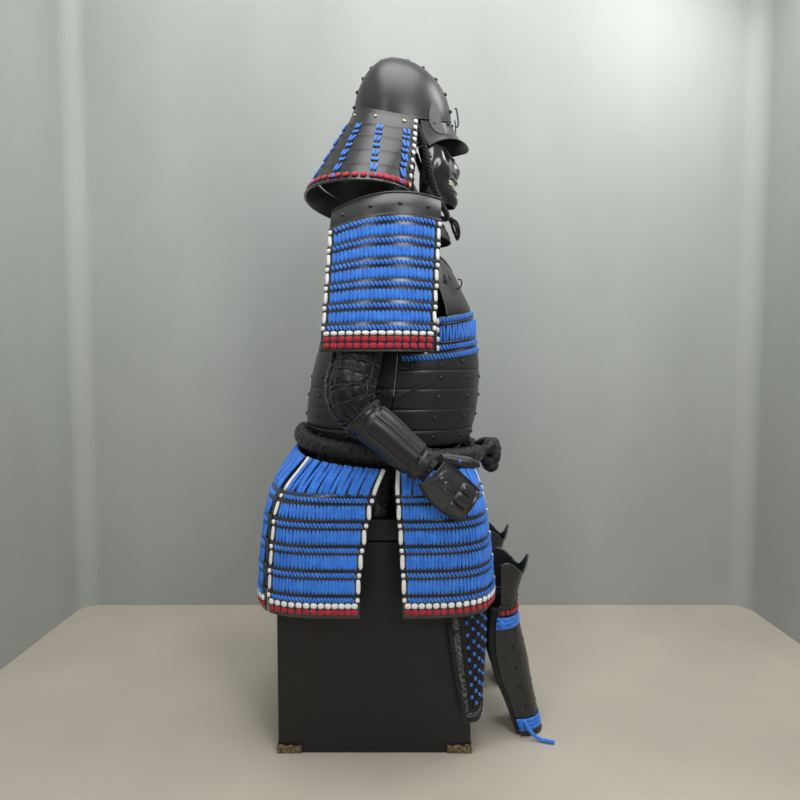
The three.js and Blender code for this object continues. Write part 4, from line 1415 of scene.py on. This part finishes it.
limbX = 262
armPoints = [
    (-196, -24, 1062), (-206, -8, 990), (-222, 14, 900), (-237, 30, 820), (-254, 40, 772),
    (-260, 24, 727), (-limbX, -26, 684), (-limbX, -66, 648), (-limbX, -104, 618),
]
armAt, armWay = curveThrough(armPoints)
sleeveRadius = smooth([(0, 41), (0.3, 42), (0.5, 43), (0.57, 40), (0.64, 34), (1, 28)])
sleeveSet = {"across": 8, "down": 16, "puff": 4.6, "guardFrom": 0.64, "guardTo": 0.985}
splintSet = {"count": 5, "groove": 0.2, "proud": 3.0}
handPoints = [(-262, -113, 611), (-257, -134, 586), (-250, -160, 562), (-240, -188, 540)]


def aboutArm(share, turn, radius):
    # turn 0 faces outwards and 90 up and forward
    middle, along = armAt(share), armWay(share)
    up = Vector((-1, 0, 0)).cross(along).normalized()
    out = along.cross(up).normalized()
    a = math.radians(turn)
    return middle + out * (radius * math.cos(a)) + up * (radius * math.sin(a))


def makeSleeve(side, mirror):
    turnOver = turnedOver(mirror)

    def quilt(u, v):
        # puffed and crumpled squares between raised piping
        across = math.sin(math.pi * sleeveSet["across"] * u)
        puff = abs(across * math.sin(math.pi * sleeveSet["down"] * v)) ** 0.5
        crumple = math.sin(47 * u + 31 * v) * math.sin(71 * v - 26 * u)
        crumple += 0.6 * math.sin(113 * v + 9 * math.sin(40 * u))
        return puff * (sleeveSet["puff"] + 1.1 * crumple)

    def sleeveAt(u, v):
        ease = 1 - bump(v - 1, 0.25)
        return turnOver(aboutArm(v, 360 * u, sleeveRadius(v) - 1.6 + quilt(u, v) * ease))

    bm = newBmesh()
    gridOnto(bm, 100, 190, sleeveAt)
    bmesh.ops.remove_doubles(bm, verts=bm.verts[:], dist=0.01)
    bm.normal_update()
    inwards = sum(
        1 if f.normal.dot(f.calc_center_median() - turnOver(armAt(0.1))) < 0 else -1
        for f in bm.faces if f.calc_center_median().z > 1000
    )
    if inwards > 0:
        bmesh.ops.reverse_faces(bm, faces=bm.faces[:])
    node = f"sleeve_{side.lower()}"
    piece = addWall(finishPiece(f"sleeve{side}", bm, "black satin", node), 1.8, 0)
    # corded piping along the arm and round it
    bm = newBmesh()
    for k in range(sleeveSet["across"]):
        def line(v, k=k):
            share = v * 0.66
            return turnOver(aboutArm(share, 360 * k / sleeveSet["across"], sleeveRadius(share) - 0.2))

        way = wayOn(line, 0.004)
        twistedBar(bm, line, way, 3.4, 170, 56, strands=2, sides=5)
    for k in range(1, 11):
        share = k / sleeveSet["down"]
        line = lambda v, share=share: turnOver(aboutArm(share, 360 * v, sleeveRadius(share) - 0.2))
        way = lambda v, f=line: (f(v + 0.004) - f(v - 0.004)).normalized()
        twistedBar(bm, line, way, 3.4, 100, 34, strands=2, sides=5)
    finishPiece(f"sleevePiping{side}", bm, "black cord")
    # brocade border down the rear seam
    bm = newBmesh()

    def borderAt(u, v):
        share = v * 0.68
        radius = sleeveRadius(share) + lerp(1, 11, u)
        return turnOver(aboutArm(share, lerp(-96, -88, u), radius))

    faces = gridOnto(bm, 6, 90, borderAt)[1]
    bm.normal_update()
    if faces[20].normal.y < 0:
        bmesh.ops.reverse_faces(bm, faces=faces)
    addWall(finishPiece(f"sleeveBorder{side}", bm, "silver brocade"), 1.4, 0)
    length = sum((armAt((k + 1) / 60) - armAt(k / 60)).length for k in range(60))


def makeForearm(side, mirror):
    turnOver = turnedOver(mirror)
    start, end = sleeveSet["guardFrom"], sleeveSet["guardTo"]

    def guardAt(u, v, out=0.0):
        share = lerp(start, end, v)
        return turnOver(aboutArm(share, lerp(-125, 125, u), lerp(40.5, 33.5, v) - 1.0 + out))

    def splints(u, v):
        # long smooth splints with grooves of fine mesh between them
        part = u * splintSet["count"] % 1
        across = abs(2 * part - 1)
        crown = (1 - across**4) ** 0.5 if across < 1 else 0
        ends = max(0, min(1, (v - 0.10) * 30, (0.86 - v) * 30))
        proud = splintSet["proud"] * (0.3 + crown) * (1 if across < 1 - splintSet["groove"] else 0)
        band = 2.2 * (1 if v > 0.90 else 0) + 1.6 * (1 if v < 0.06 else 0)
        return guardAt(u, v, proud * ends + band)

    node = f"forearm_guard_{side.lower()}"
    bm = newBmesh()
    faces = gridOnto(bm, 140, 90, splints)[1]
    inside = turnOver(armAt(lerp(start, end, 0.5)))
    turnOut(bm, faces, inside)
    for f in faces:
        u = sum(l[bm.loops.layers.uv[0]].uv.x for l in f.loops) / 4
        v = sum(l[bm.loops.layers.uv[0]].uv.y for l in f.loops) / 4
        across = abs(2 * (u * splintSet["count"] % 1) - 1)
        if 0.11 < v < 0.85 and across > 1 - splintSet["groove"]:
            f.material_index = 1
    piece = finishPiece(f"forearmGuard{side}", bm, ["plate lacquer", "mesh groove"], node)
    addWall(piece, 2.0, 0)
    bm = newBmesh()
    for turn in (0.0, 1.0):
        edge = lambda v, t=turn: guardAt(t, v, 0.6)
        tubeAlong(bm, edge, wayOn(edge), 4.2, 50, 8)
    finishPiece(f"forearmLining{side}", bm, "blue lining")
    bm = newBmesh()
    for v in (0.0, 1.0):
        edge = lambda u, v=v: guardAt(u, v, 0.8)
        tubeAlong(bm, edge, wayOn(edge), 3.0, 60, 8)
    finishPiece(f"forearmPiping{side}", bm, "black cord")
    bm = newBmesh()
    on = standOff(lambda u, v: guardAt(u, v, 2), inside)
    for k in range(splintSet["count"]):
        for v in (0.03, 0.95):
            stamp(bm, domeShape, onSurface(on, (k + 0.5) / splintSet["count"], v, 0.6), (6, 6, 4))
    finishPiece(f"forearmRivets{side}", bm, "plate lacquer")


def handFrame(v):
    at, way = curveThrough(handPoints)
    along = way(v)
    across = Vector((-0.2, 0.66, -0.72)).cross(along).cross(along)
    across = -across.normalized()
    return at(v), across, across.cross(along).normalized()


def makeHand(side, mirror):
    turnOver = turnedOver(mirror)

    def handAt(u, v, out=0.0):
        middle, across, away = handFrame(v)
        a = math.radians(lerp(-68, 68, u))
        wide = 42 * (1 - 0.14 * bump(v, 0.25)) * (1 - 0.10 * bump(v - 1, 0.2))
        deep = 26 + out
        return middle + across * (wide + out) * math.sin(a) + away * deep * math.cos(a)

    def embossed(u, v):
        # raised border, a scrolled boss on the back of the hand and three knuckle plates
        rim = 1.8 * (1 if min(u, 1 - u) < 0.05 or v < 0.04 or v > 0.96 else 0)
        boss = 2.6 * max(0, 1 - ((u - 0.5) / 0.30) ** 4 - ((v - 0.34) / 0.24) ** 4) ** 0.5
        radius = math.hypot((u - 0.5) * 1.5, v - 0.34)
        scroll = 0.9 * math.sin(46 * radius + 3 * math.atan2(v - 0.34, u - 0.5)) * bump(radius, 0.2)
        knuckles = 0.0
        for k in (-1, 0, 1):
            x, y = (u - 0.5 - 0.25 * k) / 0.115, (v - 0.76) / 0.15
            knuckles += 6.5 * max(0, 1 - x**4 - y**4) ** 0.5
        return turnOver(handAt(u, v, rim + boss + scroll + knuckles - 0.6))

    node = f"hand_guard_{side.lower()}"
    inside = turnOver(handFrame(0.5)[0] - handFrame(0.5)[2] * 8)
    bm = newBmesh()
    turnOut(bm, gridOnto(bm, 90, 110, embossed)[1], inside)
    addWall(finishPiece(f"handGuard{side}", bm, "lame lacquer", node), 2.0, 0)
    # braided trim down both sides
    bm = newBmesh()
    for edge in (0.0, 1.0):
        line = lambda v, e=edge: turnOver(handAt(e, v, 0.8))
        way = wayOn(line)
        twistedBar(bm, line, way, 3.4, 112, 10, strands=3, sides=6)
    finishPiece(f"handTrim{side}", bm, "black cord")
    # the thumb plate lies along the upper edge, and one lacing knot holds it
    bm = newBmesh()

    def thumbAt(u, v):
        # from the wrist's top, forwards over the first finger
        root = Vector((-256, -138, 636)).lerp(Vector((-246, -212, 622)), v)
        a = math.radians(lerp(-95, 95, u))
        size = 1 - 0.5 * bump(v - 1, 0.16) - 0.15 * bump(v, 0.1)
        up = Vector((0.1, 0.18, 0.97))
        spread = Vector((-1, 0, 0.1)) * (11 * size * math.cos(a))
        return turnOver(root + up * (13 * size * math.sin(a)) + spread)

    turnOut(bm, gridOnto(bm, 24, 30, thumbAt)[1], turnOver(Vector((-244, -175, 629))))
    addWall(finishPiece(f"thumbPlate{side}", bm, "plate lacquer"), 1.8, 0.4)
    bm = newBmesh()
    spot = thumbAt(0.5, 0.45)
    stamp(bm, beadShape, frameAt(spot, Vector((0, 0, 1)), Vector((1 if mirror else -1, 0, 0))), (8, 6, 5), 30)
    spot = turnOver(aboutArm(0.93, -70, 36))
    outward = Vector((1 if mirror else -1, 0, -0.5))
    stamp(bm, beadShape, frameAt(spot, Vector((0, 0, 1)), outward), (12, 9, 6), 20)
    finishPiece(f"handKnots{side}", bm, "blue lacing")
    # the wrist gather between the hand plate and the forearm guard
    bm = newBmesh()

    def wristAt(u, v):
        middle = armAt(0.985).lerp(handFrame(0.0)[0], v)
        along = armWay(1.0)
        up = Vector((-1, 0, 0)).cross(along).normalized()
        out = along.cross(up).normalized()
        a = 2 * math.pi * u
        size = 25 + 1.0 * math.sin(10 * a + 4 * v)
        return turnOver(middle + out * size * math.cos(a) + up * size * math.sin(a))

    gridOnto(bm, 60, 8, wristAt)
    bmesh.ops.remove_doubles(bm, verts=bm.verts[:], dist=0.01)
    turnOut(bm, bm.faces[:], turnOver(armAt(1.0)))
    finishPiece(f"wristGather{side}", bm, "black satin")
    bpy.data.objects[f"wristGather{side}"].modifiers.new("wall", "SOLIDIFY").thickness = 1.5 * mm


# ---- thigh guards ----

thighPlan = curveThrough([
    (-213, -150, 0), (-214, -190, 0), (-209, -214, 0), (-186, -226, 0), (-120, -233, 0),
    (-66, -233, 0), (-16, -228, 0),
])[0]
thighSet = {"top": 430, "bottom": 78, "ribs": 15, "rows": 12, "thick": 2.6}


def makeThighGuard(side, mirror):
    turnOver = turnedOver(mirror)

    def base(u, v):
        spot = thighPlan(lerp(0.17 * v * v, 1, u))
        bulge = 8.1 * math.sin(math.pi * v) * math.sin(math.pi * u)
        hem = thighSet["bottom"] + 62 * math.sin(math.pi / 2 * max(0, (u - 0.22) / 0.78)) ** 1.2
        return Vector((spot.x, spot.y - bulge, lerp(thighSet["top"], hem, v)))

    on = standOff(base, (0, -60, 250))
    ribs = thighSet["ribs"]

    def ribbed(u, v):
        part = u * ribs % 1
        inner = 0.075 < u < 0.925 and v < 0.95
        crown = math.sin(math.pi * part) ** 0.6 if inner else 0.4
        return turnOver(on(u, v, 3.6 * crown - 1.2))

    inside = turnOver(Vector((0, -60, 250)))
    bm = newBmesh()
    turnOut(bm, gridOnto(bm, 150, 60, ribbed)[1], inside)
    node = f"thigh_guard_{side.lower()}"
    piece = finishPiece(f"thighGuard{side}", bm, "black satin", node)
    addWall(piece, thighSet["thick"], 0)
    # lacing knots down the ribs, brocade strip and piped edge
    bm = newBmesh()
    mirrored = standOff(lambda u, v: turnOver(base(u, v)), inside)
    for k in range(2, ribs - 1):
        for row in range(thighSet["rows"]):
            v = (row + 0.4 + 0.5 * (k % 2)) / (thighSet["rows"] + 0.6) * 0.95
            stamp(bm, beadShape, onSurface(mirrored, k / ribs, v, 1.2), (6.5, 9, 5), 14 if row % 2 else -14)
    finishPiece(f"thighKnots{side}", bm, "blue lacing")
    bm = newBmesh()
    for u0, u1 in ((0.016, 0.07), (0.93, 0.984)):
        strip = lambda u, v, a=u0, b=u1: mirrored(lerp(a, b, u), v * 0.985, 1.6)
        turnOut(bm, gridOnto(bm, 4, 60, strip)[1], inside)
    foot = lambda u, v: mirrored(lerp(0.03, 0.97, u), lerp(0.955, 0.985, v), 1.7)
    turnOut(bm, gridOnto(bm, 60, 3, foot)[1], inside)
    addWall(finishPiece(f"thighBrocade{side}", bm, "silver brocade"), 1.2, 0)
    bm = newBmesh()
    edge = [(0.0, k / 16) for k in range(17)] + [(k / 14, 1.0) for k in range(1, 15)]
    edge += [(1.0, 1 - k / 16) for k in range(1, 17)]
    at, way = curveThrough([mirrored(u, v, 0) for u, v in edge])
    twistedBar(bm, at, way, 5.0, 860, 26, strands=2, sides=6)
    finishPiece(f"thighPiping{side}", bm, "black cord")
    wide = sum((base((k + 1) / 30, 0.4) - base(k / 30, 0.4)).length for k in range(30))


# ---- shin and knee guards ----

shinFront = smooth([
    (0, -373), (46, -362), (112, -347), (176, -335), (241, -319), (285, -311), (330, -313), (410, -330),
])
shinEdge = smooth([
    (0, -326), (24, -318), (80, -299), (143, -276), (204, -264), (260, -263), (312, -268), (410, -266),
])
shinHalf = smooth([(0, 43), (80, 44), (200, 56), (300, 58), (410, 54)])
shinSet = {
    "upperTie": (261, 268, 275), "lowerTie": (20, 28, 36), "redKnots": 16,
    "rivetRows": (65, 112, 160, 208), "rivetAngles": (-52, 0, 52),
    "thick": 2.2, "top": 306, "reach": 94, "kneeFrom": 308, "kneeReach": 90,
}
kneeLobes = smooth([(0, 402), (29, 371), (74, 399), (102, 388)])
shinTiePoints = [
    (-154, -326, 40), (-158, -336, 24), (-161, -347, 12), (-166, -360, 6), (-170, -374, 4.6),
    (-174, -388, 4.6),
]


def kneeTop(angle):
    return kneeLobes(abs(angle))


def shinPoint(angle, z, out=0.0):
    rear = 2 * shinEdge(z) - shinFront(z)
    spot = ring(shinHalf(z) + out, shinFront(z) - out, rear + out, 2.1, angle, z)
    spot.x -= lerp(102, 125, z / 400)
    return spot


def makeShin(side, mirror):
    turnOver = turnedOver(mirror)
    reach = shinSet["reach"]

    def plates(u, v):
        # three long plates: a raised front one and two at the sides
        angle, z = lerp(-reach, reach, u), lerp(0.6, shinSet["top"], v)
        front = 1.8 / (1 + math.exp((abs(angle) - 46) * 1.4))
        keel = 1.6 * bump(angle, 9)
        rim = 1.2 * (bump(v - 1, 0.02) + bump(v, 0.02))
        return turnOver(shinPoint(angle, z, front + keel + rim - 0.4))

    inside = turnOver(Vector((-110, -285, 150)))
    bm = newBmesh()
    turnOut(bm, gridOnto(bm, 150, 70, plates)[1], inside)
    name = side.lower()
    guard = finishPiece(f"shinGuard{side}", bm, "plate lacquer", f"shin_guard_{name}")
    addWall(guard, shinSet["thick"], 0.4)

    def kneeAt(u, v, out=0.0):
        angle = lerp(-shinSet["kneeReach"], shinSet["kneeReach"], u)
        z = lerp(shinSet["kneeFrom"], kneeTop(angle), v)
        return turnOver(shinPoint(angle, z, 1.0 + 5 * v * v * bump(angle, 70) + out))

    bm = newBmesh()
    turnOut(bm, gridOnto(bm, 110, 30, kneeAt)[1], turnOver(Vector((-122, -275, 350))))
    knee = finishPiece(f"kneeGuard{side}", bm, "plate lacquer", f"knee_guard_{name}")
    addWall(knee, shinSet["thick"], 0.5)

    def band(bm, z, radius, out, tilt=0.0):
        line = lambda v: turnOver(shinPoint(lerp(-reach, reach, v), z + tilt * (v - 0.5), out))
        middle = turnOver(Vector((-108, shinEdge(z), z)))

        def bandAt(u, v):
            spot = line(v)
            away = Vector((spot.x - middle.x, spot.y - middle.y, 0)).normalized()
            a = 2 * math.pi * u
            return spot + Vector((0, 0, radius * math.sin(a))) + away * radius * 0.45 * math.cos(a)

        made = gridOnto(bm, 10, 90, bandAt)[0]
        bmesh.ops.remove_doubles(bm, verts=made, dist=0.005)

    def fasten(shape, angle, z, lift, size, twist=0.0, level=False):
        # sets one knot or rivet on the guard, with its length upright or level
        spot = turnOver(shinPoint(angle, z, lift))
        away = turnOver(shinPoint(angle, z, lift + 4)) - spot
        across = Vector((0, 0, 1)).cross(away) if level else Vector((0, 0, 1))
        stamp(bm, shape, frameAt(spot, across, away), size, twist)

    # the blue tie under the knee in several strands, and the broad band above the foot
    bm = newBmesh()
    for k, z in enumerate(shinSet["upperTie"]):
        band(bm, z, 4.2, 2.8 + 0.5 * (k % 2), tilt=5 * (k - 1))
    for k, z in enumerate(shinSet["lowerTie"]):
        band(bm, z, 4.4, 2.6, tilt=3 * (k - 1))
    bmesh.ops.recalc_face_normals(bm, faces=bm.faces[:])
    for tie in ("upperTie", "lowerTie"):
        fasten(beadShape, 84, shinSet[tie][1], 5, (17, 12, 8))
    finishPiece(f"shinBands{side}", bm, "blue lacing")
    bm = newBmesh()
    for k in range(shinSet["redKnots"]):
        angle = lerp(-84, 84, k / (shinSet["redKnots"] - 1))
        fasten(beadShape, angle, 291, 2.6, (8.6, 10.5, 5), twist=8 if k % 2 else -8, level=True)
    finishPiece(f"shinRedKnots{side}", bm, "crimson braid")
    bm = newBmesh()
    for z in shinSet["rivetRows"]:
        for angle in shinSet["rivetAngles"]:
            fasten(domeShape, angle, z, 1.6, (7, 7, 5.5))
    for k in range(5):
        fasten(domeShape, lerp(-76, 76, k / 4), 322, 1.4, (7, 7, 5))
    finishPiece(f"shinRivets{side}", bm, "plate lacquer")
    bm = newBmesh()
    edge = [(k / 40, 1.0) for k in range(41)]
    at, way = curveThrough([kneeAt(u, v, 0.2) for u, v in edge])
    tubeAlong(bm, at, way, 2.2, 120, 8)
    finishPiece(f"kneeRim{side}", bm, "lame lacquer")
    # cloth backing that shows behind the plate's edges
    bm = newBmesh()
    backing = lambda u, v: turnOver(shinPoint(lerp(-110, 110, u), lerp(4, shinSet["top"] - 6, v), -3.4))
    turnOut(bm, gridOnto(bm, 60, 30, backing)[1], inside)
    addWall(finishPiece(f"shinLining{side}", bm, "black cord"), 1.5, 0)
    # the free end of the lower tie
    bm = newBmesh()
    at, way = curveThrough([turnOver(Vector(p)) for p in shinTiePoints])
    tubeAlong(bm, at, way, 4.0, 40, 10)
    tie = finishPiece(f"shinTie{side}", bm, "blue lacing", f"shin_tie_{name}", turn=True)
    fine = [at(k / 40) for k in range(41)]
    length = sum((b - a).length for a, b in zip(fine, fine[1:])) * mm


# ---- the tie at the cuirass's right side ----

sideTiePoints = [
    (-203, -26, 757), (-207, -42, 754), (-207, -62, 760), (-203, -82, 768), (-197, -102, 776),
    (-191, -120, 784),
]


def makeSideTie():
    bm = newBmesh()
    at, way = curveThrough(sideTiePoints)
    tubeAlong(bm, at, way, 2.0, 60, 8, upward=(0, 0.1, 1))
    tie = finishPiece("sideTie", bm, "black cord", "side_tie", turn=True)
    fine = [at(k / 40) for k in range(41)]
    length = sum((b - a).length for a, b in zip(fine, fine[1:])) * mm
    bm = newBmesh()
    loops = [
        [
            (-201, -22, 757), (-207, -12, 764), (-208, 2, 762), (-204, 4, 754), (-202, -10, 754),
            (-201, -22, 757),
        ],
        [(-201, -22, 757), (-207, -18, 744), (-208, -6, 736), (-204, 2, 740), (-201, -22, 755)],
    ]
    for loop in loops:
        at, way = curveThrough(loop)
        tubeAlong(bm, at, way, 1.9, 50, 8)
    knot = frameAt(Vector((-202.5, -22, 757)), Vector((0, 1, 0)), Vector((-1, 0, 0)))
    stamp(bm, beadShape, knot, (9, 8, 6))
    finishPiece("sideTieBow", bm, "black cord")


print("cloth, limbs and ties")
makeSash()
makeSashKnot()
makeWaistCloth()
for side, mirror in (("Right", False), ("Left", True)):
    makeSleeve(side, mirror)
    makeForearm(side, mirror)
    makeHand(side, mirror)
    makeThighGuard(side, mirror)
    makeShin(side, mirror)
makeSideTie()

# ---- studio ----

studio = {
    "floor": (0.56, 0.51, 0.42), "wall": (0.44, 0.46, 0.44), "left": 1018, "right": -1225, "far": 600,
    "near": -1900, "corner": 60, "height": 3000, "middle": (-300, -100, 1000),
    "ground": {"near": -5000, "half": 4500, "z": -0.5},
}


def plainLook(name, colour, rough):
    tree, shader = startMaterial(name, colour, rough)
    place = addNode(tree, "ShaderNodeTexCoord").outputs["Object"]
    cloud = noiseOn(tree, place, 1.7, 5.0, stretch=(1, 1, 0.4))
    tone = [(0.3, tuple(c * 0.80 for c in colour)), (0.7, colour)]
    tree.links.new(rampOn(tree, cloud, tone), shader.inputs["Base Color"])
    return materials[name]


def seenFromInside(name):
    # the room's walls don't hide the armour from a camera outside them
    tree = materials[name].node_tree
    shader = next(node for node in tree.nodes if node.type == "BSDF_PRINCIPLED")
    output = next(node for node in tree.nodes if node.type == "OUTPUT_MATERIAL")
    clear = addNode(tree, "ShaderNodeBsdfTransparent")
    mixed = addNode(tree, "ShaderNodeMixShader")
    tree.links.new(addNode(tree, "ShaderNodeNewGeometry").outputs["Backfacing"], mixed.inputs[0])
    tree.links.new(shader.outputs[0], mixed.inputs[1])
    tree.links.new(clear.outputs[0], mixed.inputs[2])
    tree.links.new(mixed.outputs[0], output.inputs["Surface"])


def makeStudio():
    # a painted room, open towards the camera, with softly rounded corners
    bm = newBmesh()
    far, near, radius = studio["far"], studio["near"], studio["corner"]
    outline = [Vector((near, studio["left"], 0))]
    for side, first in ((studio["left"] - radius, 0), (studio["right"] + radius, 90)):
        for k in range(9):
            a = math.radians(first + 90 * k / 8)
            outline.append(Vector((far - radius + radius * math.sin(a), side + radius * math.cos(a), 0)))
    outline.append(Vector((near, studio["right"], 0)))
    for a, b in zip(outline, outline[1:]):
        up = Vector((0, 0, studio["height"]))
        bm.faces.new([bm.verts.new(p) for p in (a, b, b + up, a + up)])
    bmesh.ops.remove_doubles(bm, verts=bm.verts[:], dist=0.1)
    bm.normal_update()
    middle = Vector(studio["middle"])
    outside = [f for f in bm.faces if f.normal.dot(middle - f.calc_center_median()) < 0]
    bmesh.ops.reverse_faces(bm, faces=outside)
    plainLook("studio wall", studio["wall"], 0.6)
    seenFromInside("studio wall")
    plainLook("studio floor", studio["floor"], 0.5)
    for name, base in (("studioWall", bm), ("studioFloor", bmesh.new())):
        if name == "studioFloor":
            ground = studio["ground"]
            edge, half = ground["near"], ground["half"]
            corners = [(edge, -half), (far, -half), (far, half), (edge, half)]
            base.faces.new([base.verts.new((x, y, ground["z"])) for x, y in corners])
        bmesh.ops.scale(base, vec=(mm, mm, mm), verts=base.verts[:])
        mesh = bpy.data.meshes.new(name)
        base.to_mesh(mesh)
        base.free()
        mesh.materials.append(materials["studio wall" if name == "studioWall" else "studio floor"])
        piece = bpy.data.objects.new(name, mesh)
        scene.collection.objects.link(piece)


def addLight(name, place, aim, size, power):
    data = bpy.data.lights.new(name, "AREA")
    data.shape = "RECTANGLE"
    data.size, data.size_y = size
    data.energy = power
    light = bpy.data.objects.new(name, data)
    light.location = Vector(place)
    light.rotation_mode = "QUATERNION"
    light.rotation_quaternion = (Vector(aim) - Vector(place)).to_track_quat("-Z", "Y")
    scene.collection.objects.link(light)


def makeLights():
    addLight("overhead", (-0.5, -0.1, 2.9), (-0.1, -0.1, 0.6), (1.6, 1.4), 38)
    addLight("front key", (-2.2, -1.1, 2.2), (0, -0.1, 0.8), (0.9, 1.2), 30)
    addLight("back key", (-2.0, 1.1, 2.2), (0, 0.1, 0.8), (0.9, 1.2), 18)
    addLight("face rim", (0.1, -1.1, 2.1), (0, -0.2, 1.1), (0.5, 0.7), 9)
    world = bpy.data.worlds.new("studio air")
    world.use_nodes = True
    air = world.node_tree.nodes["Background"]
    air.inputs["Color"].default_value = (0.90, 0.93, 0.95, 1)
    air.inputs["Strength"].default_value = 0.14
    scene.world = world
    scene.view_settings.view_transform = "Standard"


print("studio")
makeStudio()
makeLights()

print("finished")
